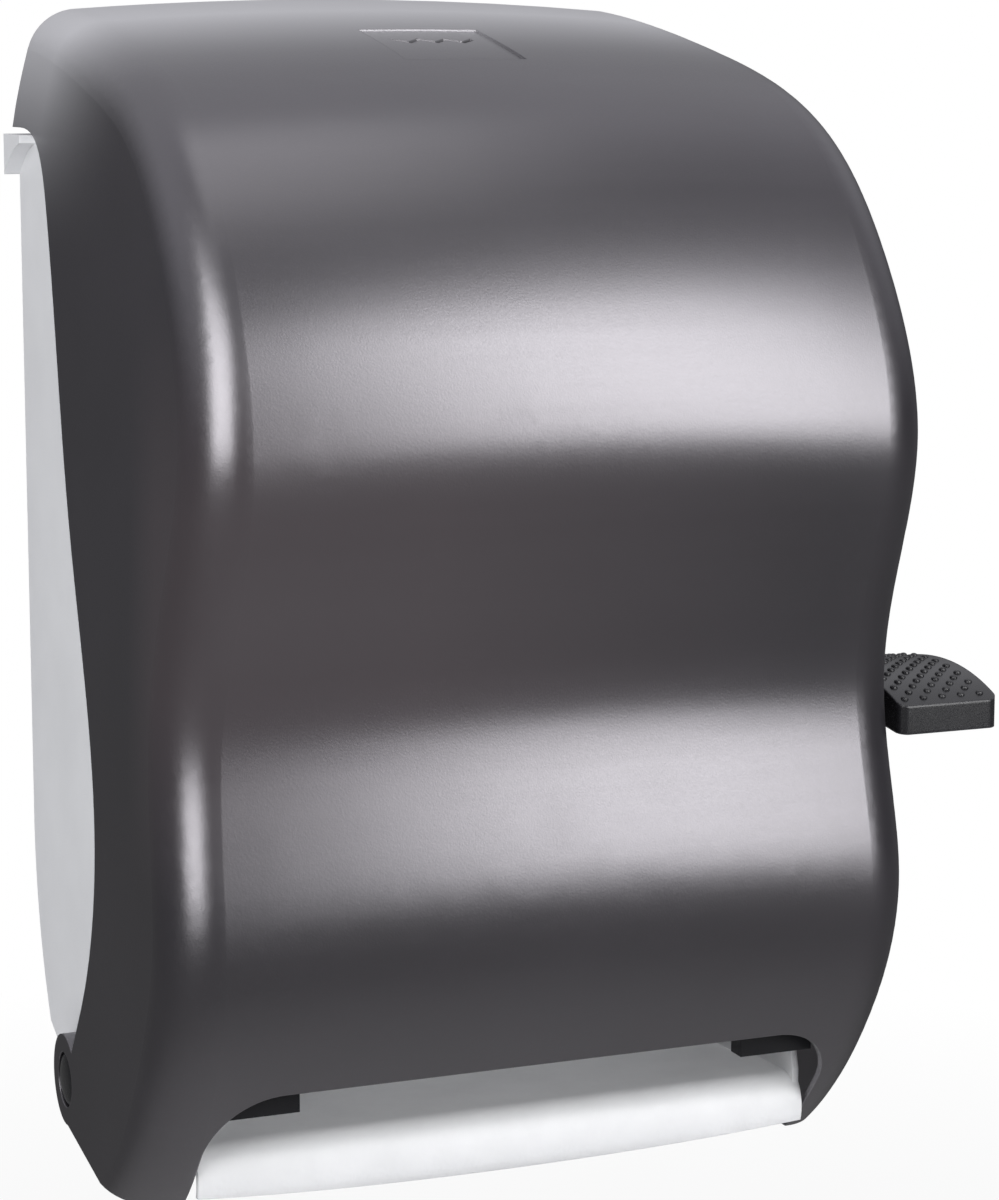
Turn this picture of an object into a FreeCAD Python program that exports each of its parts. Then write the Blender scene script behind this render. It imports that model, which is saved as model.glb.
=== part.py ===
import FreeCAD, Part
import math
import os
import re

import Sketcher
from FreeCAD import Placement, Rotation, Vector

# Wall-mounted lever roll towel dispenser.
# X runs to the right as the user sees it, Y into the wall (the wall is the plane Y = 0), Z up.
# The origin is the centre of the four wall bolts on the back face. Depths are measured from the
# wall towards the user, heights from the feet of the cover, and widths across the middle plane.

DIMENSIONS = [
    # the cover's outside
    ("total_height", 419.0, "feet to the top of the cover"),
    ("total_depth", 235.0, "wall to the front of the upper bulge"),
    ("rear_width", 270.2, "cover width at the wall"),
    ("upper_width", 261.0, "cover width at the upper bulge"),
    ("lower_width", 281.0, "cover width at the lower bulge"),
    ("crown_rise", 6.0, "how much the middle of the top stands above its ends"),
    ("crown_bow", 3.5, "how much the middle of the front stands out past its ends"),
    ("cover_wall", 2.5, "moulded wall of the cover"),
    ("cover_corner", 20.0, "rounding between the front and the sides"),
    ("cover_wall_gap", 1.5, "gap between the cover's rear edge and the wall"),
    ("lean_drop", 89.0, "from the top down to where the sides start to lean inwards"),
    ("lean_inset", 14.0, "how far the sides lean in at the top"),
    # the front outline in the middle plane, from top to bottom
    ("top_depth", 100.0, "point on the top face"),
    ("top_drop", 15.5, "how far it lies below the top of the cover"),
    ("brow_depth", 172.0, "where the top face turns down"),
    ("brow_drop", 40.0, "how far below the top"),
    ("shoulder_depth", 213.0, "between brow and upper bulge"),
    ("shoulder_drop", 83.0, "how far below the top"),
    ("bulge_height", 271.0, "height of the upper bulge"),
    ("waist_depth", 208.5, "depth at the waist"),
    ("waist_height", 180.0, "height of the waist"),
    ("lower_bulge_depth", 218.0, "depth at the lower bulge"),
    ("lower_bulge_height", 112.0, "height of the lower bulge"),
    ("chin_depth", 196.0, "depth at the mouth's upper edge"),
    ("chin_height", 50.0, "height of that point"),
    ("foot_depth", 154.0, "depth of the front of the feet"),
    ("foot_height", 2.0, "height of that point"),
    # the cover's rear edge, seen from the side
    ("edge_top_depth", 13.0, "start of the side's rear edge at the top"),
    ("edge_top_drop", 47.5, "how far below the top"),
    ("edge_brow_depth", 45.0, "edge in its upper curve"),
    ("edge_brow_drop", 60.5, "how far below the top"),
    ("edge_neck_depth", 58.0, "edge below its upper curve"),
    ("edge_neck_drop", 86.0, "how far below the top"),
    ("edge_middle_depth", 87.0, "edge half way down"),
    ("edge_middle_height", 224.0, "height of that point"),
    ("crescent_depth", 118.0, "widest part of the chassis crescent"),
    ("crescent_height", 129.0, "height of that point"),
    ("edge_low_depth", 97.0, "edge above the hinge ear"),
    ("edge_low_height", 58.0, "height of that point"),
    ("heel_depth", 120.0, "lowest point of the feet"),
    # the mouth
    ("mouth_width", 238.4, "width of the mouth"),
    ("mouth_height", 49.4, "height of its upper edge"),
    ("mouth_foot_width", 236.4, "width of the mouth at the feet"),
    ("mouth_corner", 25.0, "rounding of the mouth's upper corners"),
    # the lock in the cover's top
    ("lock_depth", 97.0, "wall to the middle of the key slot"),
    ("pad_width", 46.0, "shallow pad around the key slot"),
    ("pad_length", 48.0, "front to back"),
    ("pad_recess", 0.8, "how deep the pad is sunk"),
    ("key_width", 31.0, "length of the zigzag key slot"),
    ("key_gap", 3.4, "width of the slot"),
    ("key_rise", 5.0, "height of its teeth"),
    ("latch_travel", 5.5, "stroke of the latch; drawn pushed down by the key"),
    # the hinge of the cover
    ("hinge_depth", 70.0, "wall to the hinge axis"),
    ("hinge_height", 24.0, "height of the hinge axis"),
    ("ear_radius", 17.0, "rounded ear around the hinge"),
    ("hinge_pin_radius", 5.0, "shank of the hinge pin"),
    ("hinge_head_radius", 10.0, "round cap of the hinge pin"),
    ("hinge_head_length", 3.0, "thickness of the cap"),
    # the chassis
    ("chassis_width", 256.8, "outside of the chassis side walls"),
    ("chassis_wall", 2.5, "thickness of the side walls"),
    ("back_thickness", 3.0, "thickness of the back plate"),
    ("chassis_drop", 50.0, "from the top of the cover to the chassis shelf"),
    ("shelf_depth", 54.0, "how far the shelf reaches forwards"),
    ("shelf_lip", 15.0, "height of the lip that closes the cover's rear corners"),
    ("lip_depth", 23.0, "how far that lip reaches forwards"),
    ("overlap", 12.0, "how far the side walls reach under the cover"),
    ("plate_bottom", 32.0, "lower edge of the back plate"),
    ("plate_bottom_width", 241.0, "its width there"),
    ("wall_relief", 18.5, "how far the side walls stand off the wall at the bottom"),
    ("taper_height", 104.0, "height where the back plate starts to narrow"),
    # wall bolts
    ("mount_drop", 179.0, "from the top of the cover to the middle of the wall bolts"),
    ("bolt_spacing_x", 152.4, "wall bolts, side to side"),
    ("bolt_spacing_z", 200.0, "wall bolts, up and down"),
    ("bolt_hole_radius", 2.8, "holes for 5 mm wall screws"),
    # the mechanism frame
    ("frame_gap", 213.0, "between the two side frames"),
    ("frame_thickness", 3.0, "plate thickness"),
    ("frame_top", 166.0, "height of the rear of the frames"),
    ("frame_bottom", 40.0, "lower edge of the frames"),
    ("frame_front", 192.0, "wall to the front of the frames"),
    ("tab_width", 12.0, "width of the frames' screw tabs"),
    ("tab_height", 16.0, "height of a screw tab"),
    ("screw_radius", 1.5, "shank of the small screws"),
    ("screw_head_radius", 3.2, "their heads"),
    ("screw_head_length", 2.0, "height of the heads"),
    # running fits
    ("running_gap", 0.05, "radial clearance of a shaft in its bearing"),
    ("side_gap", 0.3, "clearance beside moving parts"),
    # main roll
    ("roll_depth", 112.0, "wall to the roll's axis"),
    ("roll_height", 268.0, "height of the roll's axis"),
    ("roll_width", 203.2, "width of the towel roll"),
    ("core_radius", 18.5, "hub that goes into the core"),
    ("hub_reach", 11.0, "how far the hub goes into the core"),
    ("hub_flange_radius", 25.0, "flange of the hub"),
    ("hub_axle_radius", 4.0, "axle moulded on the arm"),
    ("arm_thickness", 3.5, "plate of the roll arm"),
    ("arm_height", 46.0, "height of the arm at its root"),
    ("arm_pin_depth", 11.0, "wall to the pin of the roll arm"),
    ("arm_pin_radius", 2.0, "steel pin of the roll arm"),
    ("knuckle_radius", 5.0, "knuckle around the pin"),
    ("lug_height", 6.0, "lugs that hold the pin"),
    # lever and gears
    ("lever_depth", 60.0, "wall to the lever's axis"),
    ("lever_height", 128.0, "height of the lever's axis"),
    ("lever_shaft_radius", 5.0, "steel shaft of the lever"),
    ("lever_gap", 5.0, "between the cover's widest side and the paddle"),
    ("paddle_width", 41.0, "width of the paddle"),
    ("paddle_front", 188.0, "wall to the paddle's front edge"),
    ("paddle_tip_height", 164.5, "top of the front edge"),
    ("paddle_crest_depth", 148.0, "highest point of the paddle"),
    ("paddle_crest_height", 173.0, "its height"),
    ("paddle_heel_depth", 103.0, "rear of the paddle"),
    ("paddle_heel_height", 165.0, "its height"),
    ("paddle_edge", 10.5, "thickness of the front edge"),
    ("paddle_root", 17.0, "thickness at the crest"),
    ("lever_hub_radius", 14.0, "hub at the lever's axis"),
    ("gear_module", 1.0, "module of all gears"),
    ("sector_teeth", 100.0, "teeth of the sector's full circle"),
    ("pinion_teeth", 18.0, "teeth of the idler's pinion"),
    ("idler_teeth", 48.0, "teeth of the idler's large gear"),
    ("clutch_teeth", 24.0, "teeth of the gear on the feed shaft"),
    ("gear_width", 5.0, "face width of the sector and pinion"),
    ("idler_width", 4.0, "face width of the large gears"),
    ("tooth_backlash", 0.14, "play between two flanks"),
    ("sector_mesh_angle", 219.0, "direction from the lever's axis to the idler"),
    ("clutch_mesh_angle", 166.0, "direction from the idler to the feed shaft"),
    ("sector_lead", 10.0, "sector beyond its mesh, before the stroke"),
    ("sector_travel", 51.0, "sector used by the stroke"),
    ("gear_stand_off", 2.3, "gap between the right frame and the sector"),
    ("idler_axle_radius", 3.0, "axle of the idler"),
    # feed and pinch rollers
    ("feed_shaft_radius", 4.0, "steel feed shaft"),
    ("feed_core_radius", 13.0, "plastic core of the feed roller"),
    ("feed_radius", 16.0, "rubber sleeves of the feed roller"),
    ("sleeve_width", 36.0, "width of a rubber sleeve"),
    ("sleeve_pitch", 52.0, "distance between the sleeves"),
    ("roller_clearance", 4.5, "between the feed roller's ends and the side frames"),
    ("pinch_angle", 172.0, "direction from the feed roller to the pinch roller"),
    ("pinch_radius", 10.0, "rubber of the pinch roller"),
    ("pinch_shaft_radius", 3.0, "steel shaft of the pinch roller"),
    ("pressure_pivot_depth", 176.0, "wall to the pivot of the pressure arms"),
    ("pressure_pivot_height", 134.0, "its height"),
    ("pivot_pin_radius", 2.5, "pivot pins"),
    ("pressure_arm_thickness", 2.4, "plate of the pressure arms"),
    ("tie_bar_radius", 3.0, "bar that ties the pressure arms"),
    # transfer bar and stub roll cradle
    ("transfer_depth", 112.0, "wall to the pivot of the transfer bar"),
    ("transfer_height", 150.0, "its height"),
    ("transfer_reach_depth", 34.0, "how far the bar reaches forwards"),
    ("transfer_reach_drop", 26.0, "and how far down"),
    ("transfer_bar_radius", 3.0, "cross bar"),
    ("cradle_radius", 46.0, "inner radius of the stub roll cradle"),
    ("cradle_depth", 58.0, "wall to its axis"),
    ("cradle_height", 112.0, "height of its axis"),
    ("cradle_wall", 2.5, "its thickness"),
    # chute and tear bar
    ("chute_width", 234.0, "width of the chute"),
    ("chute_floor", 24.0, "height of the chute's floor behind its rounded front"),
    ("chute_slope", 5.0, "how much lower the floor is at the rear"),
    ("chute_bottom", 7.0, "bottom of the rounded front at its ends"),
    ("chute_droop", 5.0, "how much lower it is in the middle"),
    ("chute_depth", 170.0, "wall to the front of the chute"),
    ("chute_wall", 2.5, "its thickness"),
    ("cheek_top", 50.0, "top of the chute's cheeks"),
    ("chute_back", 60.0, "wall to the rear of the chute's floor"),
    ("bracket_width", 22.0, "how far the tear bar brackets reach inwards from the frames"),
    ("bracket_wing", 6.5, "and outwards in front of them"),
    ("bracket_front", 184.0, "wall to their front"),
    ("bracket_thickness", 8.0, "front to back"),
    ("bracket_bottom", 39.0, "their lower edge"),
    ("bracket_top", 62.0, "their upper edge"),
    ("blade_thickness", 1.0, "tear bar"),
    ("blade_bottom", 47.0, "height of the tooth tips"),
    ("blade_top", 60.0, "upper edge of the tear bar"),
    ("blade_pitch", 3.2, "pitch of the teeth"),
    ("blade_tooth", 2.6, "depth of the teeth"),
]

document = FreeCAD.newDocument("LeverTowelDispenser")
sheet = document.addObject("Spreadsheet::Sheet", "Dimensions")
for row, (alias, size, meaning) in enumerate(DIMENSIONS, 1):
    sheet.set(f"A{row}", alias)
    sheet.set(f"B{row}", str(size))
    sheet.set(f"C{row}", meaning)
    sheet.setAlias(f"B{row}", alias)
document.recompute()

SIZE = {alias: float(sheet.get(alias)) for alias, size, meaning in DIMENSIONS}
ALIASES = re.compile(r"\b(" + "|".join(sorted(SIZE, key=len, reverse=True)) + r")\b")
NODES = []


# ---------------------------------------------------------------- document helpers

def bind(item, prop, formula):
    """Bind one property to a formula written with the names of the sheet's cells."""
    item.setExpression(prop, ALIASES.sub(r"Dimensions.\1", formula))


def locate(item, x, y, z):
    bind(item, "Placement.Base.x", x)
    bind(item, "Placement.Base.y", y)
    bind(item, "Placement.Base.z", z)
    return item


def block(name, x, y, z, length, width, height):
    """Box with its low corner at x, y, z."""
    item = document.addObject("Part::Box", name)
    bind(item, "Length", length)
    bind(item, "Width", width)
    bind(item, "Height", height)
    return locate(item, x, y, z)


def rod(name, x, y, z, radius, length, axis="X"):
    """Cylinder that starts at x, y, z and runs along an axis (Y runs towards the user)."""
    item = document.addObject("Part::Cylinder", name)
    bind(item, "Radius", radius)
    bind(item, "Height", length)
    turns = {"X": Rotation(Vector(0, 1, 0), 90), "Y": Rotation(Vector(1, 0, 0), 90), "Z": Rotation()}
    item.Placement = Placement(Vector(0, 0, 0), turns[axis])
    return locate(item, x, y, z)


def fused(name, *items):
    item = document.addObject("Part::MultiFuse", name)
    item.Shapes = list(items)
    item.Refine = False
    return item


def cut(name, base, *tools):
    item = document.addObject("Part::Cut", name)
    item.Base = base
    item.Tool = tools[0] if len(tools) == 1 else fused(name + "_tools", *tools)
    item.Refine = False
    return item


def group(name, *items):
    """Identical loose pieces that share one node."""
    item = document.addObject("Part::Compound", name)
    item.Links = list(items)
    return item


def shaped(name, shape):
    """A feature whose shape is worked out below from the sheet's sizes."""
    item = document.addObject("Part::Feature", name)
    item.Shape = shape
    return item


def node(item, label):
    """Mark an object as a finished piece; its label names its file."""
    item.Label = label
    NODES.append(item)
    return item


def plate(name, plane, outline, thickness, holes=()):
    """Body made of a padded outline, pocketed with round holes, all bound to the sheet.

    outline holds corner formulas in the sketch plane, holes (u, v, radius) formulas.
    """
    body = document.addObject("PartDesign::Body", name)
    support = [item for item in body.Origin.OriginFeatures if item.Role == plane][0]
    sketch = body.newObject("Sketcher::SketchObject", name + "_outline")
    sketch.AttachmentSupport = [(support, "")]
    sketch.MapMode = "FlatFace"
    count = len(outline)
    for k in range(count):
        a = rough_point(outline[k])
        b = rough_point(outline[(k + 1) % count])
        sketch.addGeometry(Part.LineSegment(a, b))
    for k in range(count):
        sketch.addConstraint(Sketcher.Constraint("Coincident", k, 2, (k + 1) % count, 1))
    for k in range(count):
        for kind, formula in zip(("DistanceX", "DistanceY"), outline[k]):
            where = rough_point(outline[k])
            start = where.x if kind == "DistanceX" else where.y
            index = sketch.addConstraint(Sketcher.Constraint(kind, -1, 1, k, 1, start))
            bind(sketch, f"Constraints[{index}]", formula)
    pad = body.newObject("PartDesign::Pad", name + "_pad")
    pad.Profile = sketch
    bind(pad, "Length", thickness)
    if holes:
        drill = body.newObject("Sketcher::SketchObject", name + "_holes")
        drill.AttachmentSupport = [(support, "")]
        drill.MapMode = "FlatFace"
        for k, (u, v, radius) in enumerate(holes):
            centre = rough_point((u, v))
            drill.addGeometry(Part.Circle(centre, Vector(0, 0, 1), rough(radius)))
            for kind, formula, start in (("DistanceX", u, centre.x), ("DistanceY", v, centre.y)):
                index = drill.addConstraint(Sketcher.Constraint(kind, -1, 1, k, 3, start))
                bind(drill, f"Constraints[{index}]", formula)
            index = drill.addConstraint(Sketcher.Constraint("Radius", k, rough(radius)))
            bind(drill, f"Constraints[{index}]", radius)
        pocket = body.newObject("PartDesign::Pocket", name + "_pocket")
        pocket.Profile = drill
        pocket.Type = "ThroughAll"
        pocket.Midplane = True
    return body


SCRATCH = document.addObject("App::FeaturePython", "Scratch")
SCRATCH.addProperty("App::PropertyFloat", "Number")


def rough(formula):
    """Present value of a formula, for shapes and starting sketches."""
    bind(SCRATCH, "Number", formula)
    SCRATCH.recompute()
    return SCRATCH.Number


def rough_point(pair):
    return Vector(rough(pair[0]), rough(pair[1]), 0)


# ---------------------------------------------------------------- shared places

def up(height):
    """Height above the feet, as a place in the row's frame."""
    return f"({height} + mount_drop - total_height)"


def mirrored(side, near, far):
    """Low X of a piece that lies from near to far on one side of the middle plane."""
    return near if side == "right" else f"-({far})"


SIDES = ("left", "right")
LEVER = ("(-lever_depth)", up("lever_height"))
SECTOR_RADIUS = "(gear_module * sector_teeth / 2)"
PINION_RADIUS = "(gear_module * pinion_teeth / 2)"
IDLER_RADIUS = "(gear_module * idler_teeth / 2)"
CLUTCH_RADIUS = "(gear_module * clutch_teeth / 2)"
FIRST_MESH = f"({SECTOR_RADIUS} + {PINION_RADIUS})"
SECOND_MESH = f"({IDLER_RADIUS} + {CLUTCH_RADIUS})"
IDLER = (f"({LEVER[0]} + {FIRST_MESH} * cos(sector_mesh_angle))",
         f"({LEVER[1]} + {FIRST_MESH} * sin(sector_mesh_angle))")
FEED = (f"({IDLER[0]} + {SECOND_MESH} * cos(clutch_mesh_angle))",
        f"({IDLER[1]} + {SECOND_MESH} * sin(clutch_mesh_angle))")
NIP = "(feed_radius + pinch_radius + side_gap)"
PINCH = (f"({FEED[0]} + {NIP} * cos(pinch_angle))", f"({FEED[1]} + {NIP} * sin(pinch_angle))")
PRESSURE = ("(-pressure_pivot_depth)", up("pressure_pivot_height"))
TRANSFER = ("(-transfer_depth)", up("transfer_height"))
ROLL = ("(-roll_depth)", up("roll_height"))
HINGE = ("(-hinge_depth)", up("hinge_height"))
FRAME_IN = "(frame_gap / 2)"
FRAME_OUT = "(frame_gap / 2 + frame_thickness)"
CHASSIS_OUT = "(chassis_width / 2)"
CHASSIS_IN = "(chassis_width / 2 - chassis_wall)"
ARM_IN = "(roll_width / 2 + 3)"
ARM_OUT = "(roll_width / 2 + 3 + arm_thickness)"
SECTOR_X = f"({FRAME_OUT} + gear_stand_off)"
IDLER_X = f"({SECTOR_X} + gear_width + side_gap)"
PADDLE_X = "(lower_width / 2 + lever_gap)"
TOP_FACE = "(total_height - top_drop)"
CHASSIS_TOP = "(total_height - chassis_drop)"
ROLLER_LENGTH = "(frame_gap - 2 * roller_clearance)"

FLOOR = SIZE["mount_drop"] - SIZE["total_height"]


def below_top(drop):
    """Height of what is measured down from the top of the cover."""
    return SIZE["total_height"] - SIZE[drop]


# ---------------------------------------------------------------- curves of the casing

def side_point(depth, height):
    """Point of the side view in the row's frame."""
    return Vector(0, -depth, height + FLOOR)


def smooth(points):
    curve = Part.BSplineCurve()
    curve.interpolate(points)
    return curve


def front_curve(inset):
    """Outline of the top and front in the middle plane, moved inwards by inset."""
    d = SIZE
    rear_rise = (d["total_height"] - below_top("top_drop")) / d["top_depth"] / 2
    points = [
        side_point(-10, d["total_height"] + 10 * rear_rise),
        side_point(0, d["total_height"]),
        side_point(d["top_depth"], below_top("top_drop")),
        side_point(d["brow_depth"], below_top("brow_drop")),
        side_point(d["shoulder_depth"], below_top("shoulder_drop")),
        side_point(d["total_depth"], d["bulge_height"]),
        side_point(d["waist_depth"], d["waist_height"]),
        side_point(d["lower_bulge_depth"], d["lower_bulge_height"]),
        side_point(d["chin_depth"], d["chin_height"]),
        side_point(d["foot_depth"], d["foot_height"]),
    ]
    outer = smooth(points)
    if inset == 0:
        return outer
    moved = []
    steps = 3 * (len(points) - 1)
    first, last = outer.FirstParameter, outer.LastParameter
    for k in range(steps + 1):
        place = first + (last - first) * k / steps
        along = outer.tangent(place)[0]
        moved.append(outer.value(place) + Vector(0, -along.z, along.y) * inset)
    return smooth(moved)


def skin(inset):
    """Crowned top and front: the outline carried sideways along a shallow parabola."""
    outline = front_curve(inset)
    half = SIZE["lower_width"] / 2 + 20
    scale = (half / (SIZE["rear_width"] / 2)) ** 2
    sag = Vector(0, SIZE["crown_bow"] * scale, -SIZE["crown_rise"] * scale)
    rows = []
    for x, share in ((-half, 1), (0, -1), (half, 1)):
        rows.append([Vector(x, pole.y, pole.z) + sag * share for pole in outline.getPoles()])
    surface = Part.BSplineSurface()
    surface.buildFromPolesMultsKnots(rows, [3, 3], outline.getMultiplicities(), [0.0, 1.0],
                                     outline.getKnots(), False, False, 2, outline.Degree)
    return surface.toShape()


def width_section(y, stations):
    """Closed section across the body; stations are (height, half width) from bottom to top."""
    right = smooth([Vector(half, y, height + FLOOR) for height, half in stations])
    left = smooth([Vector(-half, y, height + FLOOR) for height, half in reversed(stations)])
    a, b = right.StartPoint, right.EndPoint
    return Part.Wire([right.toShape(), Part.makeLine(b, left.StartPoint), left.toShape(),
                      Part.makeLine(left.EndPoint, a)])


def width_envelope(inset):
    """Room between the two sides: upright at the wall, wider at the bottom of the front."""
    d = SIZE
    rear = d["rear_width"] / 2 - inset
    upper = d["upper_width"] / 2 - inset
    lower = d["lower_width"] / 2 - inset
    lean, top = d["lean_inset"], d["total_height"]
    low_lean = lean * 0.3
    knee = (below_top("lean_drop") + top) / 2
    over = top + 25
    rear_stations = [(-20, rear), (100, rear), (220, rear), (below_top("lean_drop"), rear - 0.5),
                     (knee, rear - low_lean), (top - 6, rear - lean), (over, rear - lean - 10)]
    front_stations = [(-20, lower), (100, lower), (190, (2 * lower + upper) / 3 - 0.5),
                      (below_top("lean_drop"), upper), (knee, upper - low_lean),
                      (top - 6, upper - lean), (over, upper - lean - 10)]
    sections = [width_section(10, rear_stations), width_section(-d["total_depth"] - 10, front_stations)]
    return Part.makeLoft(sections, True, True)


def casing_body(inset):
    """The cover's outside, or with an inset its inside, as a full body."""
    behind = skin(inset).extrude(Vector(0, 2 * SIZE["total_depth"], 0))
    body = behind.common(width_envelope(inset)).Solids[0]
    corner = min(SIZE["cover_corner"] - inset, SIZE["cover_corner"])
    long_edges = [edge for edge in body.Edges if is_front_corner(edge)]
    return body.makeFillet(corner, long_edges)


def is_front_corner(edge):
    middle = edge.valueAt((edge.FirstParameter + edge.LastParameter) / 2)
    return edge.Length > SIZE["total_height"] and abs(middle.x) > 50 and middle.y < -50


def rear_edge(shift, reach=0.0):
    """Rear edge of the cover's side, moved towards the user by shift."""
    d = SIZE
    points = [
        side_point(d["edge_top_depth"] + shift, below_top("edge_top_drop") - reach),
        side_point(d["edge_brow_depth"] + shift, below_top("edge_brow_drop") - reach / 2),
        side_point(d["edge_neck_depth"] + shift, below_top("edge_neck_drop")),
        side_point(d["edge_middle_depth"] + shift, d["edge_middle_height"]),
        side_point(d["crescent_depth"] + shift, d["crescent_height"]),
        side_point(d["edge_low_depth"] + shift, d["edge_low_height"]),
    ]
    return smooth(points)


def extruded_yz(wire, x_from, x_to):
    face = Part.Face(wire)
    face.translate(Vector(x_from, 0, 0))
    return face.extrude(Vector(x_to - x_from, 0, 0))


def closed(edges):
    return Part.Wire(Part.__sortEdges__(edges))


def chain(points):
    return [Part.makeLine(a, b) for a, b in zip(points, points[1:])]


def rear_cut():
    """Everything behind the cover's rear edge and under its feet, as one tool."""
    d = SIZE
    edge = rear_edge(0)
    hinge = side_point(d["hinge_depth"], d["hinge_height"])
    radius = d["ear_radius"]
    ear_top = hinge + Vector(0, -radius * math.cos(math.radians(50)), radius * math.sin(math.radians(50)))
    ear_rear = hinge + Vector(0, radius, 0)
    ear_foot = hinge + Vector(0, -radius * math.cos(math.radians(80)), -radius * math.sin(math.radians(80)))
    heel = side_point(d["heel_depth"], 0)
    ear = Part.Arc(ear_top, ear_rear, ear_foot)
    out = d["total_depth"] + 30
    corners = [ear_foot, heel, side_point(out, 0), side_point(out, -80), side_point(-30, -80),
               side_point(-30, below_top("edge_top_drop")), edge.StartPoint]
    edges = [edge.toShape(), Part.makeLine(edge.EndPoint, ear_top), ear.toShape()] + chain(corners)
    wide = d["lower_width"]
    return extruded_yz(closed(edges), -wide, wide)


def mouth_cut():
    """The mouth: nearly upright sides and broadly rounded upper corners."""
    d = SIZE
    top = d["mouth_height"] + FLOOR
    foot = d["foot_height"] + FLOOR
    half_top = d["mouth_width"] / 2
    half_foot = d["mouth_foot_width"] / 2
    y = -d["total_depth"] - 10
    corners = [Vector(-half_foot, y, foot), Vector(-half_top, y, top), Vector(half_top, y, top),
               Vector(half_foot, y, foot), Vector(half_foot, y, foot - 40),
               Vector(-half_foot, y, foot - 40)]
    face = Part.Face(Part.makePolygon(corners + corners[:1]))
    tool = face.extrude(Vector(0, d["total_depth"] - d["foot_depth"] + 40, 0))
    upright = [edge for edge in tool.Edges
               if abs(edge.Vertexes[0].Z - top) < 0.01 and abs(edge.Vertexes[-1].Z - top) < 0.01
               and abs(edge.Vertexes[0].X - edge.Vertexes[-1].X) < 0.01]
    return tool.makeFillet(d["mouth_corner"], upright)


def key_slot():
    """Zigzag key slot: three teeth, cut straight down through the pad."""
    d = SIZE
    y = -d["lock_depth"]
    teeth = 3
    step = d["key_width"] / (2 * teeth)
    start = -d["key_width"] / 2
    front = []
    for k in range(2 * teeth + 1):
        front.append(Vector(start + k * step, y - (d["key_rise"] if k % 2 else 0), 0))
    back = [point + Vector(0, d["key_gap"], 0) for point in reversed(front)]
    face = Part.Face(Part.makePolygon(front + back + front[:1]))
    face.translate(Vector(0, 0, below_top("top_drop") - 20 + FLOOR))
    return face.extrude(Vector(0, 0, 60))


def pad_recess():
    """Shallow pad around the key slot: what lies above the top skin moved inwards."""
    d = SIZE
    box = Part.makeBox(d["pad_width"], d["pad_length"], 60,
                       Vector(-d["pad_width"] / 2, -d["lock_depth"] - d["pad_length"] / 2 - 8,
                              below_top("top_drop") - 30 + FLOOR))
    return box.cut(skin(d["pad_recess"]).extrude(Vector(0, 2 * d["total_depth"], 0)))


def hinge_rod(side, x_near, x_far, radius):
    d = SIZE
    start = x_near if side == "right" else -x_far
    centre = side_point(d["hinge_depth"], d["hinge_height"]) + Vector(start, 0, 0)
    return Part.makeCylinder(radius, x_far - x_near, centre, Vector(1, 0, 0))


def ear_face():
    """Half width of the cover's side at the hinge."""
    d = SIZE
    share = d["hinge_depth"] / d["total_depth"]
    return d["rear_width"] / 2 + (d["lower_width"] - d["rear_width"]) / 2 * share


def front_cover():
    """Translucent front cover: one moulded shell with hinge ears, mouth, lock pad and key slot."""
    d = SIZE
    outer = casing_body(0)
    inner = casing_body(d["cover_wall"])
    shell = outer.cut(inner)
    face = ear_face()
    ears = [hinge_rod(side, face - 5.5, face - 1, d["ear_radius"]) for side in SIDES]
    shell = shell.fuse(ears)
    wide = d["lower_width"]
    wall_slice = Part.makeBox(2 * wide, 60, 2 * wide, Vector(-wide, -d["cover_wall_gap"], FLOOR - 50))
    tools = [rear_cut(), mouth_cut(), key_slot(), pad_recess(), wall_slice]
    for side in SIDES:
        bore = d["hinge_pin_radius"] + d["running_gap"]
        sink = d["hinge_head_radius"] + d["side_gap"]
        tools.append(hinge_rod(side, face - 20, face + 20, bore))
        tools.append(hinge_rod(side, face - d["hinge_head_length"] + 0.5, face + 20, sink))
    shell = shell.cut(tools)
    return max(shell.Solids, key=lambda solid: solid.Volume)


node(shaped("Cover", front_cover()), "front_cover")


# ---------------------------------------------------------------- chassis

def chassis_side(side):
    """Side wall of the chassis; its front edge lies under the cover's rear edge."""
    d = SIZE
    top = side_point(d["edge_top_depth"] + d["overlap"], below_top("chassis_drop"))
    front = rear_edge(d["overlap"], below_top("edge_top_drop") - below_top("chassis_drop"))
    low_front = side_point(d["hinge_depth"] + d["ear_radius"] - 2, d["hinge_height"] - 12)
    low_rear = side_point(d["wall_relief"], d["plate_bottom"])
    corners = [front.EndPoint, low_front, side_point(d["hinge_depth"] - 12, d["hinge_height"] - 12), low_rear]
    relief = Part.Arc(low_rear, side_point(d["wall_relief"] / 2.2, d["plate_bottom"] + 24),
                      side_point(0, d["taper_height"]))
    behind = [relief.EndPoint, side_point(0, below_top("chassis_drop")), top]
    wire = closed([front.toShape(), relief.toShape()] + chain(corners) + chain(behind))
    half = d["chassis_width"] / 2
    near = half - d["chassis_wall"]
    return extruded_yz(wire, near if side == "right" else -half, half if side == "right" else -near)


def shelf_lip():
    """Lip across the top of the chassis, curved underneath, as wide as the cover."""
    d = SIZE
    top = below_top("chassis_drop")
    depth = d["lip_depth"]
    under = Part.Arc(side_point(depth, top - 3), side_point(depth * 0.45, top - d["shelf_lip"] * 0.5),
                     side_point(0, top - d["shelf_lip"]))
    outline = chain([side_point(0, top - d["shelf_lip"]), side_point(0, top), side_point(depth, top),
                     side_point(depth, top - 3)])
    half = d["rear_width"] / 2 - 0.8
    return extruded_yz(closed([under.toShape()] + outline), -half, half)


def screw_tab_places():
    """Heights of the screw tabs of the side frames."""
    return ("frame_bottom + 14", "frame_top - 14")


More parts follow.
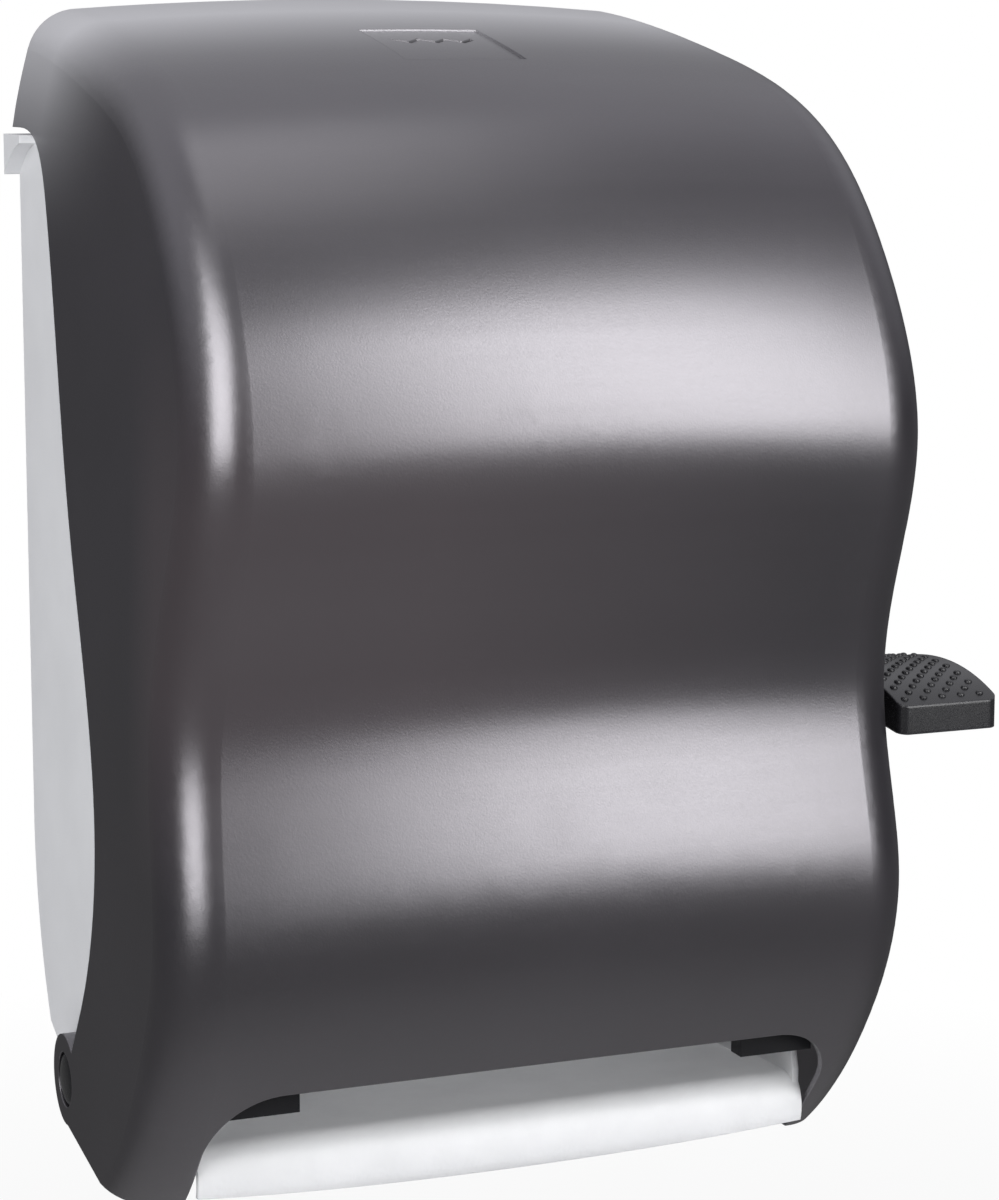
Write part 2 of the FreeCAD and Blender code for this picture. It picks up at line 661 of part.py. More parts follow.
back_outline = [
    ("-plate_bottom_width / 2", up("plate_bottom")),
    ("plate_bottom_width / 2", up("plate_bottom")),
    (CHASSIS_OUT, up("taper_height")),
    (CHASSIS_OUT, up(f"{CHASSIS_TOP}")),
    (f"-{CHASSIS_OUT}", up(f"{CHASSIS_TOP}")),
    (f"-{CHASSIS_OUT}", up("taper_height")),
]
bolt_holes = [(f"{sx}bolt_spacing_x / 2", f"{sz}bolt_spacing_z / 2", "bolt_hole_radius")
              for sx in ("-", "") for sz in ("-", "")]
back_plate = plate("BackPlate", "XZ_Plane", back_outline, "back_thickness", bolt_holes)

chassis_parts = [back_plate]
chassis_parts += [shaped(f"ChassisSide_{side}", chassis_side(side)) for side in SIDES]
chassis_parts.append(block("Shelf", f"-{CHASSIS_IN}", "-shelf_depth", up(f"{CHASSIS_TOP} - 3"),
                           f"2 * {CHASSIS_IN}", "shelf_depth", "3"))
chassis_parts.append(shaped("ShelfLip", shelf_lip()))
for side in SIDES:
    chassis_parts.append(rod(f"HingeBoss_{side}", mirrored(side, f"({CHASSIS_IN} - 6)", f"({CHASSIS_OUT} + 2.4)"),
                             *HINGE, "hinge_pin_radius + 7", "chassis_wall + 8.4"))
    for level, low in (("low", "roll_height - arm_height / 2 - lug_height - side_gap"),
                       ("high", "roll_height + arm_height / 2 + side_gap")):
        chassis_parts.append(block(f"ArmLug_{side}_{level}",
                                   mirrored(side, f"({ARM_IN} - 4)", f"({ARM_IN} + 8)"),
                                   "-arm_pin_depth - knuckle_radius", up(low),
                                   "12", "arm_pin_depth + knuckle_radius - 1", "lug_height"))

chassis_holes = []
ARM_PIN_X = f"({ARM_IN} + arm_thickness / 2)"
for side in SIDES:
    chassis_holes.append(rod(f"HingeBore_{side}", mirrored(side, "(chassis_width / 2 - 30)",
                                                           "(chassis_width / 2 + 30)"),
                             *HINGE, "hinge_pin_radius", "60"))
    pin_x = ARM_PIN_X if side == "right" else f"-{ARM_PIN_X}"
    chassis_holes.append(rod(f"ArmPinBore_{side}", pin_x, "-arm_pin_depth",
                             up("roll_height - arm_height / 2 - lug_height - 1"),
                             "arm_pin_radius", "arm_height + 2 * lug_height + 2", "Z"))
    for level, height in zip(("low", "high"), screw_tab_places()):
        tab_x = f"({FRAME_OUT} + tab_width / 2)"
        chassis_holes.append(rod(f"TabPilot_{side}_{level}", tab_x if side == "right" else f"-{tab_x}",
                                 "-0.8", up(height), "screw_radius", "20", "Y"))
chassis_holes.append(rod("BushingHole", f"{CHASSIS_IN} - 5", *LEVER, "lever_shaft_radius + 3", "20"))
for sign, label in (("-", "a"), ("", "b")):
    chassis_holes.append(rod(f"StrikePilot_{label}", f"{sign}8", "-34", up(f"{CHASSIS_TOP} - 2.6"),
                             "screw_radius", "20", "Z"))
node(cut("Chassis", fused("ChassisBlank", *chassis_parts), *chassis_holes), "rear_chassis")

for side in SIDES:
    reach = f"({ear_face():.3f} + 0.5)"
    shank = rod(f"HingeShank_{side}", mirrored(side, f"({CHASSIS_IN} - 5)", reach), *HINGE,
                "hinge_pin_radius", f"{reach} - ({CHASSIS_IN} - 5)")
    cap = rod(f"HingeCap_{side}", mirrored(side, f"({reach} - hinge_head_length + 0.3)", f"({reach} + 0.3)"),
              *HINGE, "hinge_head_radius", "hinge_head_length")
    node(fused(f"HingePin_{side}", shank, cap), f"hinge_pin_{side}")


# ---------------------------------------------------------------- screws

def screw(name, x, y, z, length, axis="Y", up_side="1"):
    """Small screw whose head stands on the place given; the shank runs the other way."""
    head = rod(name + "_head", x, y, z, "screw_head_radius", "screw_head_length", axis)
    if axis == "Y":
        shank = rod(name + "_shank", x, f"{y} + ({length})", z, "screw_radius", f"({length}) + 0.5", axis)
    elif axis == "Z":
        shank = rod(name + "_shank", x, y, f"{z} - ({length})", "screw_radius", f"({length}) + 0.5", axis)
    else:
        shank = rod(name + "_shank", f"{x} - ({length})", y, z, "screw_radius", f"({length}) + 0.5", axis)
    return fused(name, head, shank)


# ---------------------------------------------------------------- side frames

frame_outline = [
    ("-back_thickness", up("frame_bottom")),
    ("-back_thickness", up("frame_top")),
    ("-transfer_depth + 12", up("frame_top + 6")),
    ("-transfer_depth - 38", up("frame_top - 6")),
    ("-frame_front", up("pressure_pivot_height + 8")),
    ("-frame_front", up("pressure_pivot_height - 44")),
    ("-bracket_front + bracket_thickness", up("bracket_top + 4")),
    ("-bracket_front + bracket_thickness", up("bracket_bottom + 6")),
    ("-bracket_front + bracket_thickness + 16", up("bracket_bottom + 6")),
    ("-bracket_front + bracket_thickness + 16", up("frame_bottom + 18")),
    ("-chute_back - 76", up("frame_bottom + 18")),
    ("-chute_back - 62", up("frame_bottom")),
]
BUSH_OUT = "(feed_shaft_radius + 3)"
chute_screw_places = (("(-chute_back - 10)", up("frame_bottom + 8")), ("(-chute_back - 50)", up("frame_bottom + 8")))

for side in SIDES:
    holes = [(*FEED, BUSH_OUT), (*PRESSURE, "pivot_pin_radius"), (*TRANSFER, "pivot_pin_radius")]
    holes += [(*place, "screw_radius") for place in chute_screw_places]
    if side == "right":
        holes += [(*LEVER, "lever_shaft_radius + running_gap"), (*IDLER, "idler_axle_radius")]
    web = plate(f"FrameWeb_{side}", "YZ_Plane", frame_outline, "frame_thickness", holes)
    locate(web, mirrored(side, FRAME_IN, FRAME_OUT), "0", "0")
    tabs, tab_holes = [], []
    for level, height in zip(("low", "high"), screw_tab_places()):
        tabs.append(block(f"FrameTab_{side}_{level}",
                          mirrored(side, f"({FRAME_OUT} - 0.5)", f"({FRAME_OUT} + tab_width)"),
                          "-back_thickness - 3", up(f"{height} - tab_height / 2"),
                          "tab_width + 0.5", "3", "tab_height"))
        tab_x = f"({FRAME_OUT} + tab_width / 2)"
        tab_holes.append(rod(f"FrameTabHole_{side}_{level}", tab_x if side == "right" else f"-{tab_x}",
                             "0", up(height), "screw_radius", "20", "Y"))
    blank = fused(f"FrameBlank_{side}", web, *tabs)
    node(cut(f"Frame_{side}", blank, *tab_holes), f"side_frame_{side}")

frame_screws = []
for side in SIDES:
    for level, height in zip(("low", "high"), screw_tab_places()):
        tab_x = f"({FRAME_OUT} + tab_width / 2)"
        frame_screws.append(screw(f"FrameScrew_{side}_{level}", tab_x if side == "right" else f"-{tab_x}",
                                  "(-back_thickness - 3)", up(height), "back_thickness + 2.2"))
node(group("FrameScrews", *frame_screws), "frame_screws")


# ---------------------------------------------------------------- chute lip and tear bar

def chute_lip():
    """Rounded lip under the mouth with a floor behind it, end cheeks and ribs for the screws."""
    d = SIZE
    wall = d["chute_wall"]
    half = d["chute_width"] / 2
    depth, floor = d["chute_depth"], d["chute_floor"]
    low = d["chute_bottom"] - d["chute_droop"]
    back_floor = floor - d["chute_slope"]

    def front(inset):
        toe = side_point(depth - 4 - inset, low)
        belly = side_point(depth - inset, low + 0.5 * (floor - low))
        brow = side_point(depth - 3 - 0.8 * inset, floor - 3 - 0.6 * inset)
        crest = side_point(depth - 11, floor - inset)
        return smooth([toe, belly, brow, crest])

    outer, inner = front(0), front(wall)
    back, back_low = side_point(d["chute_back"], back_floor), side_point(d["chute_back"], back_floor - wall)
    edges = [outer.toShape(), inner.toShape(), Part.makeLine(outer.StartPoint, inner.StartPoint)]
    edges += chain([outer.EndPoint, back, back_low, inner.EndPoint])
    section = closed(edges)
    rib = d["frame_gap"] / 2 + d["frame_thickness"]
    pieces = [extruded_yz(section, -half, half)]
    for sign in (-1, 1):
        cheek = [side_point(depth - 3, floor - 4), side_point(depth - 3, floor + 2),
                 side_point(depth - 9, d["cheek_top"]), side_point(d["chute_back"] + 42, d["cheek_top"]),
                 side_point(d["chute_back"] + 42, back_floor)]
        start = half - wall if sign > 0 else -half
        pieces.append(extruded_yz(Part.makePolygon(cheek + cheek[:1]), start, start + wall))
        web = [side_point(d["chute_back"], back_floor - 1), side_point(d["chute_back"], d["frame_bottom"] + 15),
               side_point(d["chute_back"] + 60, d["frame_bottom"] + 15),
               side_point(d["chute_back"] + 68, floor - 4)]
        start = rib if sign > 0 else -rib - wall
        pieces.append(extruded_yz(Part.makePolygon(web + web[:1]), start, start + wall))
    lip = pieces[0].fuse(pieces[1:])
    # behind the cheeks the floor is only as wide as the ribs
    rear = -d["chute_back"] - 42
    for sign in (-1, 1):
        start = rib + wall if sign > 0 else -half - 10
        spare = half + 10 - rib - wall
        lip = lip.cut(Part.makeBox(spare, 200, 200, Vector(start, rear, FLOOR - 50)))
    # the lower edge is bowed: lowest in the middle
    end_bottom = d["chute_bottom"] + FLOOR
    bow = Part.Arc(Vector(-half, 0, end_bottom), Vector(0, 0, low + FLOOR), Vector(half, 0, end_bottom))
    frame_below = chain([Vector(half, 0, end_bottom), Vector(half, 0, FLOOR - 40),
                         Vector(-half, 0, FLOOR - 40), Vector(-half, 0, end_bottom)])
    below = Part.Face(closed([bow.toShape()] + frame_below))
    below.translate(Vector(0, -depth - 20, 0))
    return lip.cut(below.extrude(Vector(0, 60, 0)))


chute = shaped("ChuteBlank", chute_lip())
chute_holes = []
chute_screws = []
for side in SIDES:
    for k, place in enumerate(chute_screw_places):
        chute_holes.append(rod(f"ChuteHole_{side}_{k}", mirrored(side, f"({FRAME_OUT} - 1)", f"({FRAME_OUT} + 9)"),
                               *place, "screw_radius", "10"))
        head_x = mirrored(side, f"({FRAME_OUT} + chute_wall)",
                          f"({FRAME_OUT} + chute_wall + screw_head_length)")
        shank_x = mirrored(side, f"({FRAME_IN} + 0.4)", f"({FRAME_OUT} + chute_wall + 0.5)")
        head = rod(f"ChuteScrewHead_{side}_{k}", head_x, *place, "screw_head_radius", "screw_head_length")
        shank = rod(f"ChuteScrewShank_{side}_{k}", shank_x, *place, "screw_radius",
                    "frame_thickness + chute_wall + 0.1")
        chute_screws.append(fused(f"ChuteScrew_{side}_{k}", head, shank))
node(cut("Chute", chute, *chute_holes), "chute_lip")
node(group("ChuteScrews", *chute_screws), "chute_screws")

BRACKET_REAR = "(-bracket_front + bracket_thickness)"
blade_screws = []
for side in SIDES:
    face = block(f"BracketFace_{side}", mirrored(side, f"({FRAME_IN} - bracket_width)",
                                                 f"({FRAME_IN} + bracket_wing)"),
                 "-bracket_front", up("bracket_bottom"), "bracket_width + bracket_wing",
                 "bracket_thickness", "bracket_top - bracket_bottom")
    foot = block(f"BracketFoot_{side}", mirrored(side, f"({FRAME_IN} - 3)", FRAME_IN), "-bracket_front",
                 up("bracket_bottom + 8"), "3", "bracket_thickness + 10", "bracket_top - bracket_bottom - 8")
    screw_x = f"({FRAME_IN} - bracket_width / 2)"
    screw_x = screw_x if side == "right" else f"-{screw_x}"
    level = up("blade_top - 4")
    pilot = rod(f"BracketPilot_{side}", screw_x, f"{BRACKET_REAR} + 5", level, "screw_radius", "11", "Y")
    node(cut(f"Bracket_{side}", fused(f"BracketBlank_{side}", face, foot), pilot), f"tear_bar_bracket_{side}")
    head = rod(f"BladeHead_{side}", screw_x, f"{BRACKET_REAR} + blade_thickness + screw_head_length", level,
               "screw_head_radius", "screw_head_length", "Y")
    shank = rod(f"BladeShank_{side}", screw_x, f"{BRACKET_REAR} + blade_thickness + 0.5", level,
                "screw_radius", "6", "Y")
    blade_screws.append(fused(f"BladeScrew_{side}", head, shank))


def tear_bar():
    """Steel strip with a saw-toothed lower edge behind the two brackets."""
    d = SIZE
    half = d["frame_gap"] / 2 - 3.5
    y = -d["bracket_front"] + d["bracket_thickness"]
    top = d["blade_top"] + FLOOR
    tip = d["blade_bottom"] + FLOOR
    count = int(2 * half / d["blade_pitch"])
    start = -count * d["blade_pitch"] / 2
    points = [Vector(-half, y, tip + d["blade_tooth"]), Vector(-half, y, top), Vector(half, y, top),
              Vector(half, y, tip + d["blade_tooth"])]
    for k in range(count, 0, -1):
        points.append(Vector(start + k * d["blade_pitch"], y, tip + d["blade_tooth"]))
        points.append(Vector(start + (k - 0.5) * d["blade_pitch"], y, tip))
    points.append(Vector(start, y, tip + d["blade_tooth"]))
    strip = Part.Face(Part.makePolygon(points + points[:1])).extrude(Vector(0, d["blade_thickness"], 0))
    for sign in (-1, 1):
        hole_x = sign * (d["frame_gap"] / 2 - d["bracket_width"] / 2)
        strip = strip.cut(Part.makeCylinder(d["screw_radius"], 10, Vector(hole_x, y - 5, top - 4),
                                            Vector(0, 1, 0)))
    return strip


node(shaped("TearBar", tear_bar()), "tear_bar")
node(group("BladeScrews", *blade_screws), "tear_bar_screws")


# ---------------------------------------------------------------- stub roll cradle

def stub_cradle():
    """Curved tray for the end of the last roll, with two feet on the back plate."""
    d = SIZE
    centre = side_point(d["cradle_depth"], d["cradle_height"])
    half = d["frame_gap"] / 2 - 3.5

    def on_circle(radius, degrees):
        turn = math.radians(degrees)
        return centre + Vector(0, radius * math.cos(turn), radius * math.sin(turn))

    inner, outer = d["cradle_radius"], d["cradle_radius"] + d["cradle_wall"]
    start, middle, end = 200, 262, 325
    edges = [Part.Arc(*[on_circle(inner, a) for a in (start, middle, end)]).toShape(),
             Part.Arc(*[on_circle(outer, a) for a in (start, middle, end)]).toShape(),
             Part.makeLine(on_circle(inner, start), on_circle(outer, start)),
             Part.makeLine(on_circle(inner, end), on_circle(outer, end))]
    tray = extruded_yz(closed(edges), -half, half)
    feet = []
    for x in (-half, -6.0, half - 12.0):
        corners = [on_circle(outer - 0.5, 280), on_circle(outer - 0.5, 323),
                   Vector(0, -d["back_thickness"], on_circle(outer, 323).z),
                   Vector(0, -d["back_thickness"], on_circle(outer, 290).z)]
        foot = extruded_yz(Part.makePolygon(corners + corners[:1]), x, x + 12)
        feet.append(foot.cut(Part.makeCylinder(inner + 1, 40, centre + Vector(x - 5, 0, 0), Vector(1, 0, 0))))
    return tray.fuse(feet).removeSplitter()


node(shaped("Cradle", stub_cradle()), "stub_roll_cradle")


# ---------------------------------------------------------------- roll arms and hubs

for side in SIDES:
    sign = "" if side == "right" else "-"
    pin_x = f"{sign}{ARM_PIN_X}"
    low = up("roll_height - arm_height / 2 - lug_height")
    pin = rod(f"ArmPin_{side}", pin_x, "-arm_pin_depth", low, "arm_pin_radius",
              "arm_height + 2 * lug_height + side_gap", "Z")
    node(pin, f"roll_arm_pin_{side}")

    outline = [
        ("-arm_pin_depth", up("roll_height - arm_height / 2")),
        ("-arm_pin_depth", up("roll_height + arm_height / 2")),
        ("-roll_depth + 8", up("roll_height + hub_flange_radius - 4")),
        ("-roll_depth - 10", up("roll_height + hub_flange_radius - 8")),
        ("-roll_depth - 18", up("roll_height + 6")),
        ("-roll_depth - 18", up("roll_height - 6")),
        ("-roll_depth - 10", up("roll_height - hub_flange_radius + 8")),
        ("-roll_depth + 8", up("roll_height - hub_flange_radius + 4")),
    ]
    web = plate(f"ArmWeb_{side}", "YZ_Plane", outline, "arm_thickness")
    locate(web, mirrored(side, ARM_IN, ARM_OUT), "0", "0")
    knuckle = rod(f"ArmKnuckle_{side}", pin_x, "-arm_pin_depth", up("roll_height - arm_height / 2"),
                  "knuckle_radius", "arm_height", "Z")
    axle = rod(f"ArmAxle_{side}", mirrored(side, f"({ARM_IN} - 3 - hub_reach + 1.5)", f"({ARM_IN} + 0.5)"), *ROLL,
               "hub_axle_radius", "3 + hub_reach - 1")
    bore = rod(f"ArmBore_{side}", pin_x, "-arm_pin_depth", up("roll_height - arm_height"),
               "arm_pin_radius + running_gap", "2 * arm_height", "Z")
    node(cut(f"Arm_{side}", fused(f"ArmBlank_{side}", web, knuckle, axle), bore), f"roll_arm_{side}")

    boss = rod(f"HubBoss_{side}", mirrored(side, f"({ARM_IN} - 3 - hub_reach)", f"({ARM_IN} - 1.5)"), *ROLL,
               "core_radius", "hub_reach + 1.5")
    flange = rod(f"HubFlange_{side}", mirrored(side, f"({ARM_IN} - 2.6)", f"({ARM_IN} - 0.4)"), *ROLL,
                 "hub_flange_radius", "2.2")
    bore = rod(f"HubBore_{side}", mirrored(side, f"({ARM_IN} - 3 - hub_reach + 1.2)", f"({ARM_IN} + 8.2)"), *ROLL,
               "hub_axle_radius + running_gap", "hub_reach + 10")
    node(cut(f"Hub_{side}", fused(f"HubBlank_{side}", boss, flange), bore), f"roll_hub_{side}")


# ---------------------------------------------------------------- gears

def polar(radius, degrees):
    turn = math.radians(degrees)
    return Vector(0, radius * math.cos(turn), radius * math.sin(turn))


def involute_angle(radius, base):
    """Polar angle of the involute at a radius, in degrees."""
    if radius <= base:
        return 0.0
    roll = math.sqrt((radius / base) ** 2 - 1)
    return math.degrees(roll - math.atan(roll))


def tooth_edges(module, teeth, centre, backlash):
    """Edges of one tooth around the direction centre, from root to root."""
    pitch = module * teeth / 2
    base = pitch * math.cos(math.radians(20))
    root, tip = pitch - 1.25 * module, pitch + 0.95 * module
    half = 90 / teeth - math.degrees(backlash / 2 / pitch) + involute_angle(pitch, base)
    start = max(base, root) + 0.001

    def flank(sign):
        def at(radius):
            return polar(radius, centre + sign * (half - involute_angle(radius, base)))
        foot = polar(root, centre + sign * half)
        return foot, at(start), at((start + tip) / 2), at(tip)

    low, high = flank(-1), flank(1)
    edges = []
    if root < start - 0.002:
        edges.append(Part.makeLine(low[0], low[1]))
        edges.append(Part.makeLine(high[1], high[0]))
        first, last = low[0], high[0]
    else:
        first, last = low[1], high[1]
    edges.append(Part.Arc(low[1], low[2], low[3]).toShape())
    edges.append(Part.Arc(low[3], polar(tip, centre), high[3]).toShape())
    edges.append(Part.Arc(high[3], high[2], high[1]).toShape())
    return first, last, edges


def gear(teeth_alias, width_alias, phase):
    """Full gear around the X axis at the origin, with a tooth in the direction phase."""
    module, teeth = SIZE["gear_module"], int(SIZE[teeth_alias])
    edges, ends = [], []
    for k in range(teeth):
        first, last, tooth = tooth_edges(module, teeth, phase + 360.0 * k / teeth, SIZE["tooth_backlash"])
        edges += tooth
        ends.append((first, last))
    for k in range(teeth):
        last = ends[k][1]
        first = ends[(k + 1) % teeth][0]
        middle = (last + first) * 0.5
        middle = middle * (last.Length / middle.Length)
        edges.append(Part.Arc(last, middle, first).toShape())
    return Part.Face(closed(edges)).extrude(Vector(SIZE[width_alias], 0, 0))


def tube(x_from, x_to, outer, inner):
    ring = Part.makeCylinder(outer, x_to - x_from, Vector(x_from, 0, 0), Vector(1, 0, 0))
    if inner <= 0:
        return ring
    hole = Part.makeCylinder(inner, x_to - x_from + 2, Vector(x_from - 1, 0, 0), Vector(1, 0, 0))
    return ring.cut(hole)


def sector_gear():
    """Toothed sector on the lever's shaft, around the X axis at the origin."""
    d = SIZE
    teeth = d["sector_teeth"]
    step = 360.0 / teeth
    before = int(d["sector_lead"] / step)
    after = int(d["sector_travel"] / step)
    edges, ends = [], []
    for k in range(-after, before + 1):
        centre = d["sector_mesh_angle"] + k * step
        first, last, tooth = tooth_edges(d["gear_module"], teeth, centre, d["tooth_backlash"])
        edges += tooth
        ends.append((first, last))
    for (_, last), (first, _) in zip(ends, ends[1:]):
        middle = (last + first) * 0.5
        middle = middle * (last.Length / middle.Length)
        edges.append(Part.Arc(last, middle, first).toShape())
    origin = Vector(0, 0, 0)
    edges.append(Part.makeLine(origin, ends[0][0]))
    edges.append(Part.makeLine(ends[-1][1], origin))
    fan = Part.Face(closed(edges)).extrude(Vector(d["gear_width"], 0, 0))
    window_middle = d["sector_mesh_angle"] - (d["sector_travel"] - d["sector_lead"]) / 2
    rim = d["gear_module"] * teeth / 2
    window = Part.makeCylinder(rim * 0.15, d["gear_width"] + 2, polar(rim * 0.58, window_middle) - Vector(1, 0, 0),
                               Vector(1, 0, 0))
    hub = Part.makeCylinder(d["lever_shaft_radius"] + 5, d["gear_width"] + 1.5, origin, Vector(1, 0, 0))
    bore = Part.makeCylinder(d["lever_shaft_radius"], 60, Vector(-20, 0, 0), Vector(1, 0, 0))
    return fan.cut(window).fuse(hub).cut(bore)


def idler_gear():
    """Compound idler: small pinion towards the frame, large gear outside it."""
    d = SIZE
    half_gap = 180.0 / d["pinion_teeth"]
    pinion = gear("pinion_teeth", "gear_width", d["sector_mesh_angle"] + 180 + half_gap)
    large = gear("idler_teeth", "idler_width", d["clutch_mesh_angle"])
    large.translate(Vector(d["gear_width"] + d["side_gap"], 0, 0))
    root = d["gear_module"] * (d["pinion_teeth"] / 2 - 1.25)
    neck = tube(0, d["gear_width"] + d["side_gap"] + 1, root, 0)
    bore = Part.makeCylinder(d["idler_axle_radius"] + d["running_gap"], 60, Vector(-20, 0, 0), Vector(1, 0, 0))
    return pinion.fuse([neck, large]).cut(bore)


def clutch_gear():
    """Gear with a one-way clutch barrel that runs on the feed shaft."""
    d = SIZE
    half_gap = 180.0 / d["clutch_teeth"]
    wheel = gear("clutch_teeth", "idler_width", d["clutch_mesh_angle"] + 180 + half_gap)
    barrel = tube(-d["gear_width"] + 0.5, 1, d["feed_shaft_radius"] + 4, 0)
    bore = Part.makeCylinder(d["feed_shaft_radius"] + d["running_gap"], 60, Vector(-20, 0, 0), Vector(1, 0, 0))
    return wheel.fuse(barrel).cut(bore)


node(locate(shaped("SectorGear", sector_gear()), SECTOR_X, *LEVER), "sector_gear")
node(locate(shaped("IdlerGear", idler_gear()), SECTOR_X, *IDLER), "idler_gear")
node(locate(shaped("ClutchGear", clutch_gear()), IDLER_X, *FEED), "clutch_gear")

axle_head = rod("IdlerAxleHead", f"{FRAME_IN} - 1.5", *IDLER, "idler_axle_radius + 2", "1.5")
axle_rod = rod("IdlerAxleRod", f"{FRAME_IN} - 0.5", *IDLER, "idler_axle_radius",
               f"({IDLER_X} + idler_width + 2.4) - ({FRAME_IN} - 0.5)")
node(fused("IdlerAxle", axle_head, axle_rod), "idler_axle")


def clip(name, label, x, place, shaft):
    """Spring clip ring that keeps a wheel on its shaft."""
    ring = rod(name + "_ring", x, *place, f"{shaft} + 2.2", "1")
    hole = rod(name + "_hole", f"{x} - 1", *place, shaft, "3")
    return node(cut(name, ring, hole), label)


clip("IdlerClip", "idler_clip", f"({IDLER_X} + idler_width + side_gap)", IDLER, "idler_axle_radius")
clip("FeedClip", "feed_clip", f"({IDLER_X} + idler_width + side_gap)", FEED, "feed_shaft_radius")


# ---------------------------------------------------------------- lever

def lever_handle():
    """Black lever: hub, curved arm and broad paddle, moulded in one piece."""
    d = SIZE
    x0 = d["lower_width"] / 2 + d["lever_gap"]
    x1 = x0 + d["paddle_width"]
    axis = side_point(d["lever_depth"], d["lever_height"])
    hub = d["lever_hub_radius"]
    top_join = axis + Vector(0, hub * math.cos(math.radians(70)), hub * math.sin(math.radians(70)))
    low_join = axis + Vector(0, hub * math.cos(math.radians(215)), hub * math.sin(math.radians(215)))
    tip_top = side_point(d["paddle_front"], d["paddle_tip_height"])
    tip_low = side_point(d["paddle_front"], d["paddle_tip_height"] - d["paddle_edge"])
    crest = side_point(d["paddle_crest_depth"], d["paddle_crest_height"])
    heel = side_point(d["paddle_heel_depth"], d["paddle_heel_height"])
    under_crest = crest - Vector(0, -4, d["paddle_root"])
    under_heel = heel - Vector(0, 4, d["paddle_root"])
    top = smooth([top_join, heel, crest, tip_top])
    under = smooth([tip_low, under_crest, under_heel, low_join])
    edges = [top.toShape(), Part.makeLine(tip_top, tip_low), under.toShape(),
             Part.makeLine(low_join, top_join)]
    strap = extruded_yz(closed(edges), x0, x1)
    # plan of the strap: broad paddle in front, narrow arm behind
    arm = x0 + 12
    front, heel_y = -d["paddle_front"], -d["paddle_heel_depth"]
    plan = chain([Vector(arm, heel_y + 12, 0), Vector(arm, 0, 0), Vector(x0, 0, 0), Vector(x0, front, 0),
                  Vector(x1, front, 0), Vector(x1, heel_y - 20, 0)])
    shoulder = Part.BezierCurve()
    shoulder.setPoles([Vector(x1, heel_y - 20, 0), Vector(x1, heel_y - 2, 0), Vector(arm, heel_y - 8, 0),
                       Vector(arm, heel_y + 12, 0)])
    mask = Part.Face(closed(plan + [shoulder.toShape()]))
    mask.translate(Vector(0, 0, FLOOR))
    strap = strap.common(mask.extrude(Vector(0, 0, 300)))
    corners = [edge for edge in strap.Edges
               if abs(edge.Vertexes[0].Y - front) < 0.01 and abs(edge.Vertexes[-1].Y - front) < 0.01
               and abs(edge.Vertexes[0].X - edge.Vertexes[-1].X) < 0.01 and edge.Length < 20]
    strap = strap.makeFillet(4, corners)
    near = d["chassis_width"] / 2 + 1.3
    hub_solid = Part.makeCylinder(hub, arm - near, Vector(near, axis.y, axis.z), Vector(1, 0, 0))
    bore = Part.makeCylinder(d["lever_shaft_radius"], 60, Vector(near - 10, axis.y, axis.z), Vector(1, 0, 0))
    sink = Part.makeCylinder(d["lever_shaft_radius"] + 2, 10, Vector(arm - 3, axis.y, axis.z), Vector(1, 0, 0))
    return strap.fuse(hub_solid).cut([bore, sink])


node(shaped("Lever", lever_handle()), "lever_handle")
LEVER_ARM_X = f"({PADDLE_X} + 12)"
node(rod("LeverShaft", f"{FRAME_IN} - 1.5", *LEVER, "lever_shaft_radius", f"{LEVER_ARM_X} - 3 - ({FRAME_IN} - 1.5)"),
     "lever_shaft")
node(rod("LeverScrew", f"{LEVER_ARM_X} - 3", *LEVER, "lever_shaft_radius + 1.7", "2.6"), "lever_screw")

bush_body = rod("BushBody", f"{CHASSIS_IN} - 1", *LEVER, "lever_shaft_radius + 3", "chassis_wall + 2")
bush_flange = rod("BushFlange", CHASSIS_OUT, *LEVER, "lever_shaft_radius + 6", "1")
bush_bore = rod("BushBore", f"{CHASSIS_IN} - 10", *LEVER, "lever_shaft_radius + running_gap", "30")
node(cut("LeverBushing", fused("BushBlank", bush_body, bush_flange), bush_bore), "lever_bushing")


def coil(turns, wire, radius, pitch, legs):
    """Close-wound spring around the X axis: touching turns and straight legs."""
    solids = [Part.makeTorus(radius, wire, Vector(wire + k * pitch, 0, 0), Vector(1, 0, 0)) for k in range(turns)]
    solids += [Part.makeCylinder(0.88 * wire, length, start, direction) for start, direction, length in legs]
    return solids[0].fuse(solids[1:])


def lever_spring():
    wire, radius, pitch, turns = 0.7, 8.0, 1.3, 4
    far = wire + (turns - 1) * pitch
    inner_leg = (Vector(wire, -radius, 1), Vector(0, 0, -1), 13)
    outer_leg = (Vector(far, -1, radius), Vector(0, 1, 0), 17)
    return coil(turns, wire, radius, pitch, [inner_leg, outer_leg])


node(locate(shaped("LeverSpring", lever_spring()), f"{SECTOR_X} + gear_width + 1.8", *LEVER), "lever_return_spring")

SECTOR_TOP = "(sector_mesh_angle - sector_travel - 1.8)"
bumper_y = f"{LEVER[0]} + 30 * cos({SECTOR_TOP}) + (4 + side_gap) * cos({SECTOR_TOP} - 90)"
bumper_z = f"{LEVER[1]} + 30 * sin({SECTOR_TOP}) + (4 + side_gap) * sin({SECTOR_TOP} - 90)"
node(rod("LeverBumper", FRAME_OUT, bumper_y, bumper_z, "4", "gear_stand_off + gear_width"), "lever_bumper")


# ---------------------------------------------------------------- feed roller

